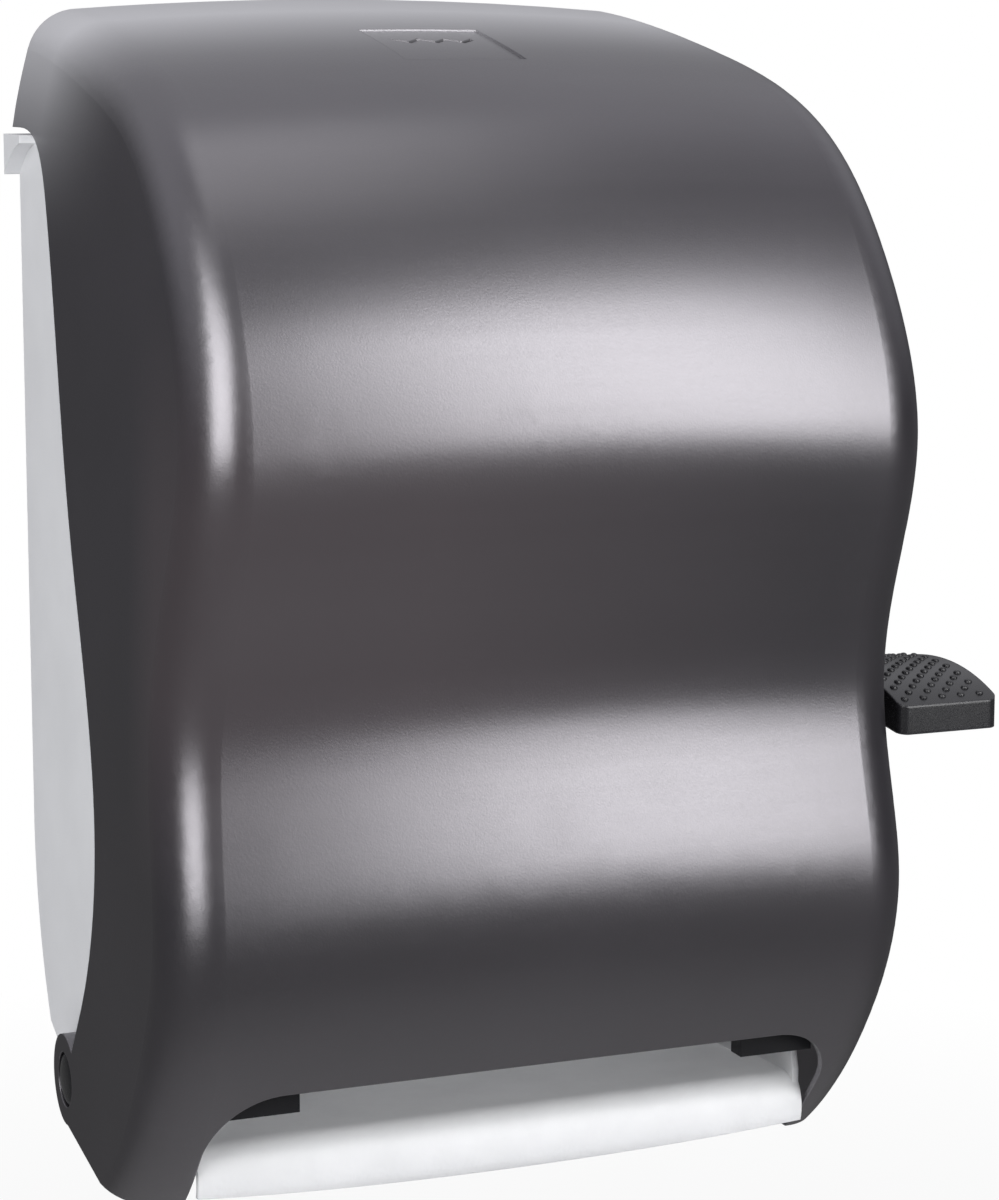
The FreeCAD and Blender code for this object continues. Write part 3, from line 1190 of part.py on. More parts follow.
node(rod("FeedShaft", f"-{FRAME_OUT} - 3", *FEED, "feed_shaft_radius",
         f"({IDLER_X} + idler_width + 2.4) + ({FRAME_OUT} + 3)"), "feed_shaft")
core_body = rod("FeedCoreBody", f"-{ROLLER_LENGTH} / 2", *FEED, "feed_core_radius", ROLLER_LENGTH)
core_bore = rod("FeedCoreBore", f"-{ROLLER_LENGTH}", *FEED, "feed_shaft_radius", f"2 * {ROLLER_LENGTH}")
node(cut("FeedCore", core_body, core_bore), "feed_roller_core")

sleeves = []
for k in range(4):
    x = f"({k - 1.5} * sleeve_pitch - sleeve_width / 2)"
    sleeve = rod(f"Sleeve_{k}_body", x, *FEED, "feed_radius", "sleeve_width")
    hole = rod(f"Sleeve_{k}_bore", f"{x} - 1", *FEED, "feed_core_radius", "sleeve_width + 2")
    sleeves.append(cut(f"Sleeve_{k}", sleeve, hole))
node(group("FeedSleeves", *sleeves), "feed_roller_grips")

for side in SIDES:
    body = rod(f"FeedBushBody_{side}", mirrored(side, FRAME_IN, FRAME_OUT), *FEED, BUSH_OUT, "frame_thickness")
    flange = rod(f"FeedBushFlange_{side}", mirrored(side, f"({FRAME_IN} - 1)", FRAME_IN), *FEED,
                 f"{BUSH_OUT} + 2.5", "1")
    hole = rod(f"FeedBushBore_{side}", mirrored(side, f"({FRAME_IN} - 5)", f"({FRAME_IN} + 10)"), *FEED,
               "feed_shaft_radius + running_gap", "15")
    node(cut(f"FeedBush_{side}", fused(f"FeedBushBlank_{side}", body, flange), hole), f"feed_bushing_{side}")


# ---------------------------------------------------------------- pinch roller and pressure arms

pinch_half = f"({FRAME_IN} - side_gap)"
node(rod("PinchShaft", f"-{pinch_half}", *PINCH, "pinch_shaft_radius", f"2 * {pinch_half}"), "pinch_shaft")
pinch_length = f"({ROLLER_LENGTH} - 4)"
pinch_body = rod("PinchBody", f"-{pinch_length} / 2", *PINCH, "pinch_radius", pinch_length)
pinch_bore = rod("PinchBore", f"-{pinch_length}", *PINCH, "pinch_shaft_radius", f"2 * {pinch_length}")
node(cut("PinchRoller", pinch_body, pinch_bore), "pinch_roller")

PRESS_IN = f"({FRAME_IN} - side_gap - pressure_arm_thickness)"
TIE = (f"({PRESSURE[0]} - 4)", f"({PRESSURE[1]} - 16)")
for side in SIDES:
    outline = [
        (f"{PRESSURE[0]} - 8", f"{PRESSURE[1]} - 18"),
        (f"{PRESSURE[0]} - 7", f"{PRESSURE[1]} + 4"),
        (f"{PRESSURE[0]} - 3", f"{PRESSURE[1]} + 7"),
        (f"{PRESSURE[0]} + 4", f"{PRESSURE[1]} + 6"),
        (f"{PINCH[0]} + 6", f"{PINCH[1]} + 6"),
        (f"{PINCH[0]} + 6", f"{PINCH[1]} - 5"),
        (f"{PINCH[0]} - 5", f"{PINCH[1]} - 7"),
    ]
    holes = [(*PRESSURE, "pivot_pin_radius + running_gap"), (*PINCH, "pinch_shaft_radius + running_gap")]
    arm = plate(f"PressureArm_{side}", "YZ_Plane", outline, "pressure_arm_thickness", holes)
    locate(arm, mirrored(side, PRESS_IN, f"({FRAME_IN} - side_gap)"), "0", "0")
    node(arm, f"pressure_arm_{side}")
node(rod("TieBar", f"-{PRESS_IN}", *TIE, "tie_bar_radius", f"2 * {PRESS_IN}"), "pressure_tie_bar")

pressure_pins, transfer_pins, pressure_springs = [], [], []
for side in SIDES:
    pin_start = mirrored(side, f"({PRESS_IN} - 7)", f"({FRAME_OUT} + 1.2)")
    pressure_pins.append(rod(f"PressurePin_{side}", pin_start, *PRESSURE, "pivot_pin_radius",
                             f"({FRAME_OUT} + 1.2) - ({PRESS_IN} - 7)"))
    pin_start = mirrored(side, f"({FRAME_IN} - 3.5)", f"({FRAME_OUT} + 1.2)")
    transfer_pins.append(rod(f"TransferPin_{side}", pin_start, *TRANSFER, "pivot_pin_radius",
                             "frame_thickness + 4.7"))
    leg = [(Vector(0.5, -3.1, 0.6), Vector(0, 0, -1), 12.6)]
    spring = shaped(f"PressureSpring_{side}", coil(4, 0.5, 3.1, 0.95, leg))
    locate(spring, mirrored(side, f"({PRESS_IN} - 4.6)", f"({PRESS_IN} - 0.75)"), *PRESSURE)
    pressure_springs.append(spring)
node(group("PressurePins", *pressure_pins), "pressure_pivot_pins")
node(group("TransferPins", *transfer_pins), "transfer_pivot_pins")
node(group("PressureSprings", *pressure_springs), "pressure_springs")


# ---------------------------------------------------------------- transfer bar

BAR = (f"({TRANSFER[0]} - transfer_reach_depth)", f"({TRANSFER[1]} - transfer_reach_drop)")
bar_parts = [rod("TransferCross", f"-({FRAME_IN} - 1.6)", *BAR, "transfer_bar_radius", f"2 * ({FRAME_IN} - 1.6)")]
for side in SIDES:
    outline = [
        (f"{TRANSFER[0]} - 4", f"{TRANSFER[1]} + 5"),
        (f"{TRANSFER[0]} + 5", f"{TRANSFER[1]} + 4"),
        (f"{TRANSFER[0]} + 5", f"{TRANSFER[1]} - 5"),
        (f"{BAR[0]} + 2", f"{BAR[1]} - 4"),
        (f"{BAR[0]} - 4", f"{BAR[1]} + 2"),
    ]
    holes = [(*TRANSFER, "pivot_pin_radius + running_gap")]
    arm = plate(f"TransferArm_{side}", "YZ_Plane", outline, "2.6", holes)
    locate(arm, mirrored(side, f"({FRAME_IN} - 3.2)", f"({FRAME_IN} - 0.6)"), "0", "0")
    bar_parts.append(arm)
node(fused("TransferBar", *bar_parts), "transfer_bar")


# ---------------------------------------------------------------- latch of the cover

LATCH_Y = "(-lock_depth)"
strike_base = block("StrikeBase", "-15", "-50", up(f"{CHASSIS_TOP}"), "30", "30", "1.5")
strike_riser = block("StrikeRiser", "-15", "-50", up(f"{CHASSIS_TOP}"), "30", "1.5", f"{TOP_FACE} - {CHASSIS_TOP} - 10.5")
strike_tongue = block("StrikeTongue", "-15", f"{LATCH_Y} + 11", up(f"{TOP_FACE} - 12"), "30",
                      "lock_depth - 11 - 48.5", "1.5")
strike_lip = block("StrikeLip", "-15", f"{LATCH_Y} + 11", up(f"{TOP_FACE} - 17"), "30", "1.5", "6.5")
strike_holes = [rod(f"StrikeHole_{label}", f"{sign}8", "-34", up(f"{CHASSIS_TOP} - 5"), "screw_radius", "20", "Z")
                for sign, label in (("-", "a"), ("", "b"))]
node(cut("Strike", fused("StrikeBlank", strike_base, strike_riser, strike_tongue, strike_lip), *strike_holes),
     "latch_strike")
strike_screws = [screw(f"StrikeScrew_{label}", f"{sign}8", "-34", up(f"{CHASSIS_TOP} + 1.5"), "3.8", "Z")
                 for sign, label in (("-", "a"), ("", "b"))]
node(group("StrikeScrews", *strike_screws), "strike_screws")


HOUSING_FLOOR = f"({TOP_FACE} - 32)"
LATCH_LOW = f"({HOUSING_FLOOR} + 6)"


def lock_housing():
    """Black housing under the key slot; its top follows the inside of the cover."""
    d = SIZE
    floor = below_top("top_drop") - 32 + FLOOR
    y = -d["lock_depth"]
    outer = Part.makeBox(46, 26, 50, Vector(-23, y - 15, floor))
    ears = Part.makeBox(70, 12, 50, Vector(-35, y - 8, below_top("top_drop") - 8 + FLOOR))
    room = Part.makeBox(36.6, 16.6, 50, Vector(-18.3, y - 9.3, floor + 2))
    window = Part.makeBox(36.6, 20, 21.0, Vector(-18.3, y, floor + 2))
    under_skin = skin(d["cover_wall"]).extrude(Vector(0, 2 * d["total_depth"], 0))
    body = outer.fuse(ears).common(under_skin).cut([room, window])
    for sign in (-1, 1):
        pilot = Part.makeCylinder(d["screw_radius"], 30, Vector(sign * 29, y - 2, floor), Vector(0, 0, 1))
        body = body.cut(pilot)
    return body


node(shaped("LockHousing", lock_housing()), "lock_housing")
lock_screws = []
for sign, label in (("-", "a"), ("", "b")):
    head = rod(f"LockScrewHead_{label}", f"{sign}29", f"{LATCH_Y} - 2", up(f"{TOP_FACE} - 8 - screw_head_length"),
               "screw_head_radius", "screw_head_length", "Z")
    shank = rod(f"LockScrewShank_{label}", f"{sign}29", f"{LATCH_Y} - 2", up(f"{TOP_FACE} - 8.5"), "screw_radius",
                "3.4", "Z")
    lock_screws.append(fused(f"LockScrew_{label}", head, shank))
node(group("LockScrews", *lock_screws), "lock_screws")

slide_body = block("SlideBody", "-18", f"{LATCH_Y} - 9", up(LATCH_LOW), "36", "16", "14.3")
slide_foot = block("SlideFoot", "-12", f"{LATCH_Y} + 5", up(LATCH_LOW), "24", "12", "2.6")
slide_hook = block("SlideHook", "-12", f"{LATCH_Y} + 13", up(LATCH_LOW), "24", "4", "7.2")
spring_well = rod("SpringWell", "0", f"{LATCH_Y} - 1", up(f"{LATCH_LOW} - 5"), "4.6", "16.6", "Z")
node(cut("LatchSlide", fused("SlideBlank", slide_body, slide_foot, slide_hook), spring_well), "latch_slide")


def latch_spring():
    """Compression spring between the housing's floor and the slide."""
    wire, radius, turns, length = 0.45, 3.6, 5, 15.3
    helix = Part.makeHelix((length - 2 * wire) / turns, length - 2 * wire, radius)
    section = Part.Wire(Part.makeCircle(wire, Vector(radius, 0, 0), Vector(0, 1, 0)))
    return Part.Wire(helix).makePipeShell([section], True, True)


node(locate(shaped("LatchSpring", latch_spring()), "0", f"{LATCH_Y} - 1", up(f"{HOUSING_FLOOR} + 2.55")),
     "latch_spring")


# ---------------------------------------------------------------- checks and files

document.recompute()
document.removeObject(SCRATCH.Name)
document.recompute()
problems = []
for item in document.Objects:
    if "Invalid" in item.State or "Error" in item.State:
        problems.append(f"{item.Name}: {item.State}")
for item in NODES:
    if item.Shape.isNull() or not item.Shape.isValid() or not item.Shape.Solids:
        problems.append(f"{item.Label}: no valid solid")
    elif min(solid.Volume for solid in item.Shape.Solids) <= 0:
        problems.append(f"{item.Label}: a solid is inside out")
if problems:
    raise RuntimeError("; ".join(problems))

os.makedirs("parts", exist_ok=True)
for item in NODES:
    item.Shape.exportStep(os.path.join("parts", item.Label + ".step"))
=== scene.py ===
import math

import bmesh
import bpy
from mathutils import Matrix, Vector


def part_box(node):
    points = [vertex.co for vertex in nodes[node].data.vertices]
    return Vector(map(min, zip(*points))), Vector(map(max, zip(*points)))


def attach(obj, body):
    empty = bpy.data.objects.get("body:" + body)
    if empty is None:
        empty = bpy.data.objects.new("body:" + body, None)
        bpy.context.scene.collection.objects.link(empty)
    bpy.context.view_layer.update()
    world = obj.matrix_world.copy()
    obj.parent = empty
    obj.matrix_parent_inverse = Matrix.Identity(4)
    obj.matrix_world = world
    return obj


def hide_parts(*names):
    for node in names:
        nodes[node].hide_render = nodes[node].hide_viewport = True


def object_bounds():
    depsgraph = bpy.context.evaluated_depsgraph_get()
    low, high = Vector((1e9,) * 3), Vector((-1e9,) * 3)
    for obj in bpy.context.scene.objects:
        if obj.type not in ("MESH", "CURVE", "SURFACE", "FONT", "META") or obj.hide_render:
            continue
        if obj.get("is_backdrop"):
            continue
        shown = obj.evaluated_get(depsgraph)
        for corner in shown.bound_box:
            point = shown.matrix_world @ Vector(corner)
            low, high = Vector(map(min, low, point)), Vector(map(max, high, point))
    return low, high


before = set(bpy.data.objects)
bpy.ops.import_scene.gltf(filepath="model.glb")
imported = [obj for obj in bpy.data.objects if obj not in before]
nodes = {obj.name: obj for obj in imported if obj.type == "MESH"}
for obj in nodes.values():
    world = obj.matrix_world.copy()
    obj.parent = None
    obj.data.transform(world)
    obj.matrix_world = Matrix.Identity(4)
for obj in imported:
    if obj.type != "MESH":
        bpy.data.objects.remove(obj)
cad_low, cad_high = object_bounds()


# ------------------------------------------------------------------ rear chassis
# White ABS moulding that is screwed to the wall through four bolt holes: back plate, side walls,
# top shelf and the bosses of the cover's hinge. Spark-eroded mould, so its faces have a fine grain.

CHASSIS_WHITE = (0.76, 0.765, 0.78)
BACK_PLATE_FACE = -0.003
RIB_STEP, RIBS_EACH_SIDE = 0.028, 2
RIB_HEIGHT, RIB_MIDDLE = 0.21, 0.024
RIB_BASE, RIB_TOP, RIB_RISE = 0.0022, 0.0014, 0.0016


def put(tree, kind, entries=(), **settings):
    """Adds a node; an entry is a plain value or the output socket that feeds it."""
    made = tree.nodes.new(kind)
    for key, value in settings.items():
        setattr(made, key, value)
    for key, value in dict(entries).items():
        if isinstance(value, bpy.types.NodeSocket):
            tree.links.new(value, made.inputs[key])
        else:
            made.inputs[key].default_value = value
    return made


def blend_colours(tree, share, first, second):
    made = put(tree, "ShaderNodeMix", {0: share, 6: first, 7: second}, data_type="RGBA")
    return made.outputs[2]


def rescale(tree, value, low, high, to_low, to_high):
    made = put(tree, "ShaderNodeMapRange", {0: value, 1: low, 2: high, 3: to_low, 4: to_high})
    return made.outputs[0]


def opaque(colour, gain=1.0):
    return (*[min(1.0, part * gain) for part in colour], 1.0)


def rounded_edges(tree, radius, flat=0.985, sharp=0.80):
    """Normal with the sharp edges rounded, and a mask that is 1 on those edges."""
    rounded = put(tree, "ShaderNodeBevel", {"Radius": radius}, samples=6).outputs[0]
    face = put(tree, "ShaderNodeNewGeometry").outputs["True Normal"]
    turn = put(tree, "ShaderNodeVectorMath", {0: rounded, 1: face}, operation="DOT_PRODUCT")
    return rounded, rescale(tree, turn.outputs["Value"], flat, sharp, 0.0, 1.0)


def noise(tree, place, scale, detail):
    made = put(tree, "ShaderNodeTexNoise", {"Vector": place, "Scale": scale, "Detail": detail})
    return made.outputs[0]


def clouded(tree, cloud, dark, pale, low=0.3, high=0.7):
    """Two colours that follow a soft noise."""
    return blend_colours(tree, rescale(tree, cloud, low, high, 0.0, 1.0), dark, pale)


def grained(tree, fine, smooth, dull, low=0.25, high=0.75):
    """Roughness that follows a fine noise."""
    return rescale(tree, fine, low, high, smooth, dull)


def product(tree, first, second):
    return put(tree, "ShaderNodeMath", {0: first, 1: second}, operation="MULTIPLY").outputs[0]


def finish_surface(tree, tone, roughness, height, depth, rounded):
    """Feeds colour, roughness and a shallow bump over the rounded edges to the shader."""
    shader = tree.nodes["Principled BSDF"]
    bump = put(tree, "ShaderNodeBump", {"Strength": 1.0, "Distance": depth, "Height": height,
                                        "Normal": rounded})
    tree.links.new(tone, shader.inputs["Base Color"])
    tree.links.new(roughness, shader.inputs["Roughness"])
    tree.links.new(bump.outputs[0], shader.inputs["Normal"])
    return shader.inputs


def moulded(name, colour, roughness, grain=1100.0, depth=0.00005, mottle=0.05, rounding=0.0005,
            edge_gain=1.25, reflect=0.5, cloud_scale=26.0, smoother=0.05, rougher=0.06):
    """Moulded plastic: mould grain, faint flow clouds and edges painted paler, partly rubbed wear and
    partly a painted highlight along them.
    """
    material = bpy.data.materials.new(name)
    material.use_nodes = True
    tree = material.node_tree
    place = put(tree, "ShaderNodeTexCoord").outputs["Object"]
    cloud = noise(tree, place, cloud_scale, detail=4.0)
    fine = noise(tree, place, grain, detail=2.0)
    rounded, edge = rounded_edges(tree, rounding)
    tone = clouded(tree, cloud, opaque(colour, 1 - mottle), opaque(colour, 1 + mottle))
    # Edges painted paler by edge_gain: partly rubbed wear, partly a painted highlight along the rounded
    # edges.
    tone = blend_colours(tree, product(tree, edge, cloud), tone, opaque(colour, edge_gain))
    rough = grained(tree, fine, roughness - smoother, roughness + rougher)
    surface = finish_surface(tree, tone, rough, fine, depth, rounded)
    surface["Specular IOR Level"].default_value = reflect
    return material


def dress(material, *names):
    """Gives carried-over nodes their finish."""
    for name in names:
        slots = nodes[name].data.materials
        slots.clear()
        slots.append(material)


def new_tree(name, entries):
    """Geometry tree with a mesh input, named inputs and a mesh output."""
    tree = bpy.data.node_groups.new(name, "GeometryNodeTree")
    tree.interface.new_socket(name="Geometry", in_out="INPUT", socket_type="NodeSocketGeometry")
    for label, kind in entries.items():
        tree.interface.new_socket(name=label, in_out="INPUT", socket_type="NodeSocket" + kind)
    tree.interface.new_socket(name="Geometry", in_out="OUTPUT", socket_type="NodeSocketGeometry")
    start = tree.nodes.new("NodeGroupInput")
    return tree, start.outputs


def close_tree(tree, geometry, material):
    """Ends a tree in real geometry that wears its material."""
    real = put(tree, "GeometryNodeRealizeInstances", {0: geometry}).outputs[0]
    dressed = put(tree, "GeometryNodeSetMaterial", {"Geometry": real, "Material": material}).outputs[0]
    put(tree, "NodeGroupOutput", {0: dressed})


def point_cloud(name, places, **attributes):
    """Mesh of loose points that carries named values."""
    mesh = bpy.data.meshes.new(name)
    mesh.from_pydata([tuple(place) for place in places], [], [])
    for label, values in attributes.items():
        if isinstance(values[0], (int, float)):
            mesh.attributes.new(label, "FLOAT", "POINT").data.foreach_set("value", values)
        else:
            flat = [part for value in values for part in value]
            mesh.attributes.new(label, "FLOAT_VECTOR", "POINT").data.foreach_set("vector", flat)
    made = bpy.data.objects.new(name, mesh)
    bpy.context.scene.collection.objects.link(made)
    return made


def plain_copy(source, name):
    """The evaluated source as a plain mesh object."""
    bpy.context.view_layer.update()
    graph = bpy.context.evaluated_depsgraph_get()
    mesh = bpy.data.meshes.new_from_object(source.evaluated_get(graph))
    bpy.data.objects.remove(source)
    made = bpy.data.objects.new(name, mesh)
    bpy.context.scene.collection.objects.link(made)
    return made


def grown(source, tree, values, name):
    """Runs a geometry tree on the source and keeps the result as a plain mesh."""
    modifier = source.modifiers.new("grow", "NODES")
    modifier.node_group = tree
    for socket in tree.interface.items_tree:
        if socket.in_out == "INPUT" and socket.name in values:
            modifier[socket.identifier] = values[socket.name]
    return plain_copy(source, name)


def mesh_object(name, corners, faces, material=None):
    """Object from corners and faces, its faces turned outwards."""
    mesh = bpy.data.meshes.new(name)
    mesh.from_pydata([tuple(corner) for corner in corners], [], faces)
    work = bmesh.new()
    work.from_mesh(mesh)
    bmesh.ops.remove_doubles(work, verts=work.verts, dist=1e-7)
    bmesh.ops.recalc_face_normals(work, faces=work.faces)
    work.to_mesh(mesh)
    work.free()
    if material:
        mesh.materials.append(material)
    made = bpy.data.objects.new(name, mesh)
    bpy.context.scene.collection.objects.link(made)
    return made


white_abs = moulded("white_abs", CHASSIS_WHITE, roughness=0.44, grain=1300.0, depth=0.00006,
                    mottle=0.035, edge_gain=1.12)
dress(white_abs, "rear_chassis")

rib_tree, rib_in = new_tree("stiffening ribs", {"Rib": "Object", "Material": "Material"})
rib_shape = put(rib_tree, "GeometryNodeObjectInfo", {"Object": rib_in["Rib"]}).outputs["Geometry"]
rib_set = put(rib_tree, "GeometryNodeInstanceOnPoints",
              {"Points": rib_in["Geometry"], "Instance": rib_shape}).outputs[0]
close_tree(rib_tree, rib_set, rib_in["Material"])

rib_corners = [(side * half, -rise, end * (RIB_HEIGHT / 2 - rise))
               for half, rise in ((RIB_BASE / 2, 0.0), (RIB_TOP / 2, RIB_RISE))
               for side, end in ((-1, -1), (1, -1), (1, 1), (-1, 1))]
rib = mesh_object("rib", rib_corners, [(0, 1, 2, 3), (4, 5, 6, 7), (0, 1, 5, 4), (1, 2, 6, 5),
                                       (2, 3, 7, 6), (3, 0, 4, 7)])
rib_feet = point_cloud("rib_feet", [(step * RIB_STEP, BACK_PLATE_FACE, RIB_MIDDLE)
                                    for step in range(-RIBS_EACH_SIDE, RIBS_EACH_SIDE + 1)])
ribs = grown(rib_feet, rib_tree, {"Rib": rib, "Material": white_abs}, "chassis_ribs")
bpy.data.objects.remove(rib)
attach(ribs, "chassis")


# ------------------------------------------------------------------ wall bolt seats
# Round pads moulded around the four wall bolt holes, so that the bolt heads bear on solid plastic
# and don't dish the plate. Part of the chassis moulding.

BOLT_SPACING = (0.1524, 0.200)
SEAT_OUTSIDE, SEAT_HOLE, SEAT_RISE = 0.0085, 0.0031, 0.0012
SEAT_SHOULDER, SEAT_DRAFT, SEAT_ROUND = 0.7, 0.0002, 0.0006


def smooth_shaded(piece, angle=32):
    piece.data.polygons.foreach_set("use_smooth", [True] * len(piece.data.polygons))
    piece.data.set_sharp_from_angle(angle=math.radians(angle))
    return piece


def turned(name, profile, material, origin=(0, 0, 0), along="X", steps=48, ring=False):
    """Turned piece; the profile gives distance along the axis and radius, point by point."""
    turn = {"X": Matrix(((0, 0, 1), (1, 0, 0), (0, 1, 0))),
            "Y": Matrix(((0, 1, 0), (0, 0, 1), (1, 0, 0))),
            "Z": Matrix.Identity(3)}[along]
    corners, faces = [], []
    for reach, radius in profile:
        for step in range(steps):
            angle = 2 * math.pi * step / steps
            around = Vector((radius * math.cos(angle), radius * math.sin(angle), reach))
            corners.append(Vector(origin) + turn @ around)
    pairs = [(k, k + 1) for k in range(len(profile) - 1)] + ([(len(profile) - 1, 0)] if ring else [])
    for low, high in pairs:
        for step in range(steps):
            after = (step + 1) % steps
            faces.append((low * steps + step, low * steps + after,
                          high * steps + after, high * steps + step))
    made = mesh_object(name, corners, faces, material)
    work = bmesh.new()
    work.from_mesh(made.data)
    bmesh.ops.dissolve_degenerate(work, dist=1e-7, edges=work.edges)
    bmesh.ops.recalc_face_normals(work, faces=work.faces)
    work.to_mesh(made.data)
    work.free()
    return smooth_shaded(made)


def joined(name, pieces):
    """One mesh object from several."""
    work = bmesh.new()
    for piece in pieces:
        work.from_mesh(piece.data)
    mesh = bpy.data.meshes.new(name)
    work.to_mesh(mesh)
    work.free()
    mesh.materials.append(pieces[0].data.materials[0])
    for piece in pieces:
        bpy.data.objects.remove(piece)
    made = bpy.data.objects.new(name, mesh)
    bpy.context.scene.collection.objects.link(made)
    return smooth_shaded(made)


seat_profile = [(0.0, SEAT_OUTSIDE), (-SEAT_RISE * SEAT_SHOULDER, SEAT_OUTSIDE - SEAT_DRAFT),
                (-SEAT_RISE, SEAT_OUTSIDE - SEAT_ROUND), (-SEAT_RISE, SEAT_HOLE), (0.0, SEAT_HOLE)]
seats = [turned(f"seat_{k}", seat_profile, white_abs,
                (side * BOLT_SPACING[0] / 2, BACK_PLATE_FACE, end * BOLT_SPACING[1] / 2), "Y",
                ring=True)
         for k, (side, end) in enumerate(((-1, -1), (1, -1), (-1, 1), (1, 1)))]
bolt_seats = joined("bolt_seats", seats)
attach(bolt_seats, "chassis")


# ------------------------------------------------------------------ side frames
# Two flat frames that carry the rollers and the gears. Grey glass-filled nylon with a matt face,
# screwed to the back plate by their tabs.

NYLON_GREY = (0.30, 0.31, 0.33)

nylon = moulded("grey_nylon", NYLON_GREY, roughness=0.52, grain=700.0, depth=0.00009, mottle=0.09,
                edge_gain=1.35)
dress(nylon, "side_frame_left", "side_frame_right")


# ------------------------------------------------------------------ small screws
# Zinc-plated pan-head screws with a cross recess. They hold the frames, the chute, the tear bar,
# the latch strike and the lock housing; each stands where its pilot hole is.

ZINC = (0.60, 0.60, 0.61)
HEAD_RADIUS, HEAD_HEIGHT, SHANK_RADIUS = 0.0032, 0.0020, 0.0015
HEAD_DOME = ((0.0, 0.0), (-0.00005, 0.0017), (-0.0003, 0.0025), (-0.0008, 0.00298),
             (-0.0014, HEAD_RADIUS))
SHANK_START = 0.0012
RECESS_WIDTH, RECESS_REACH, RECESS_DEPTH = 0.00085, 0.0038, 0.0013
RECESS_ABOVE, RECESS_TAPER = 0.0005, 0.62
RIM_SHARE = 0.9


def metal(name, colour, roughness, stretch=(1.0, 1.0, 1.0), scale=900.0, depth=0.000001,
          rounding=0.0003, cloud_scale=60.0, dull=0.86, bright=1.06, edge_gain=1.3, edge_share=0.5,
          smoother=0.08, rougher=0.10):
    """Metal with fine drawing lines or plating grain; the stretch gives their direction."""
    material = bpy.data.materials.new(name)
    material.use_nodes = True
    tree = material.node_tree
    place = put(tree, "ShaderNodeTexCoord").outputs["Object"]
    along = put(tree, "ShaderNodeMapping", {"Vector": place, "Scale": stretch}).outputs[0]
    lines = noise(tree, along, scale, detail=3.0)
    cloud = noise(tree, place, cloud_scale, detail=3.0)
    rounded, edge = rounded_edges(tree, rounding)
    tone = clouded(tree, cloud, opaque(colour, dull), opaque(colour, bright))
    tone = blend_colours(tree, product(tree, edge, edge_share), tone, opaque(colour, edge_gain))
    rough = grained(tree, lines, roughness - smoother, roughness + rougher)
    surface = finish_surface(tree, tone, rough, lines, depth, rounded)
    surface["Metallic"].default_value = 1.0
    return material


def solids_of(name):
    """Corners of each separate solid of a node, as lists of points."""
    work = bmesh.new()
    work.from_mesh(nodes[name].data)
    bmesh.ops.remove_doubles(work, verts=work.verts, dist=1e-6)
    seen, found = set(), []
    for first in work.verts:
        if first in seen:
            continue
        seen.add(first)
        island = [first]
        for corner in island:
            for link in corner.link_edges:
                other = link.other_vert(corner)
                if other not in seen:
                    seen.add(other)
                    island.append(other)
        found.append([corner.co.copy() for corner in island])
    work.free()
    return found


def extent(points):
    return (Vector([min(point[k] for point in points) for k in range(3)]),
            Vector([max(point[k] for point in points) for k in range(3)]))


def screw_seat(points):
    """Middle of the head's top, its direction and the whole length of one screw."""
    low, high = extent(points)
    size = high - low
    axis = max(range(3), key=lambda k: abs(size[k] - 2 * HEAD_RADIUS))
    middle = (low + high) / 2
    lengthwise = Vector([k == axis for k in range(3)])
    rim = [point[axis] for point in points
           if (point - middle - (point[axis] - middle[axis]) * lengthwise).length
           > HEAD_RADIUS * RIM_SHARE]
    sign = 1 if sum(rim) / len(rim) > middle[axis] else -1
    facing = Vector([sign if k == axis else 0.0 for k in range(3)])
    top = middle.copy()
    top[axis] = high[axis] if sign > 0 else low[axis]
    return top, facing, size[axis]


zinc = metal("zinc_plate", ZINC, roughness=0.34, scale=1500.0)

head_blank = turned("head_blank", [*HEAD_DOME, (-HEAD_HEIGHT, HEAD_RADIUS), (-HEAD_HEIGHT, 0.0)], zinc,
                    along="Z", steps=32)
cross_corners, cross_faces = [], []
for arm in range(2):
    for level, shrink in ((RECESS_ABOVE, 1.0), (-RECESS_DEPTH, RECESS_TAPER)):
        for side, end in ((-1, -1), (1, -1), (1, 1), (-1, 1)):
            across, reach = side * RECESS_WIDTH / 2 * shrink, end * RECESS_REACH / 2 * shrink
            cross_corners.append((across, reach, level) if arm == 0 else (reach, -across, level))
    base = arm * 8
    cross_faces += [tuple(base + k for k in face) for face in
                    ((0, 1, 2, 3), (4, 5, 6, 7), (0, 1, 5, 4), (1, 2, 6, 5), (2, 3, 7, 6),
                     (3, 0, 4, 7))]
cross = mesh_object("cross", cross_corners, cross_faces)
recess = head_blank.modifiers.new("recess", "BOOLEAN")
recess.object, recess.operation, recess.solver, recess.use_self = cross, "DIFFERENCE", "EXACT", True
screw_head = plain_copy(head_blank, "screw_head")
bpy.data.objects.remove(cross)

screw_tree, screw_in = new_tree("pan-head screws", {"Head": "Object", "Shank radius": "Float",
                                                    "Shank start": "Float", "Material": "Material"})
facing = put(screw_tree, "GeometryNodeInputNamedAttribute", {"Name": "facing"},
             data_type="FLOAT_VECTOR").outputs[0]
length = put(screw_tree, "GeometryNodeInputNamedAttribute", {"Name": "length"},
             data_type="FLOAT").outputs[0]
turned_to = put(screw_tree, "FunctionNodeAlignRotationToVector", {"Vector": facing},
                axis="Z").outputs[0]
head_shape = put(screw_tree, "GeometryNodeObjectInfo", {"Object": screw_in["Head"]}).outputs["Geometry"]
heads = put(screw_tree, "GeometryNodeInstanceOnPoints",
            {"Points": screw_in["Geometry"], "Instance": head_shape, "Rotation": turned_to}).outputs[0]
rod_shape = put(screw_tree, "GeometryNodeMeshCylinder",
                {"Vertices": 16, "Radius": screw_in["Shank radius"], "Depth": 1.0}).outputs[0]
rod_down = put(screw_tree, "GeometryNodeTransform",
               {"Geometry": rod_shape, "Translation": (0, 0, -0.5)}).outputs[0]
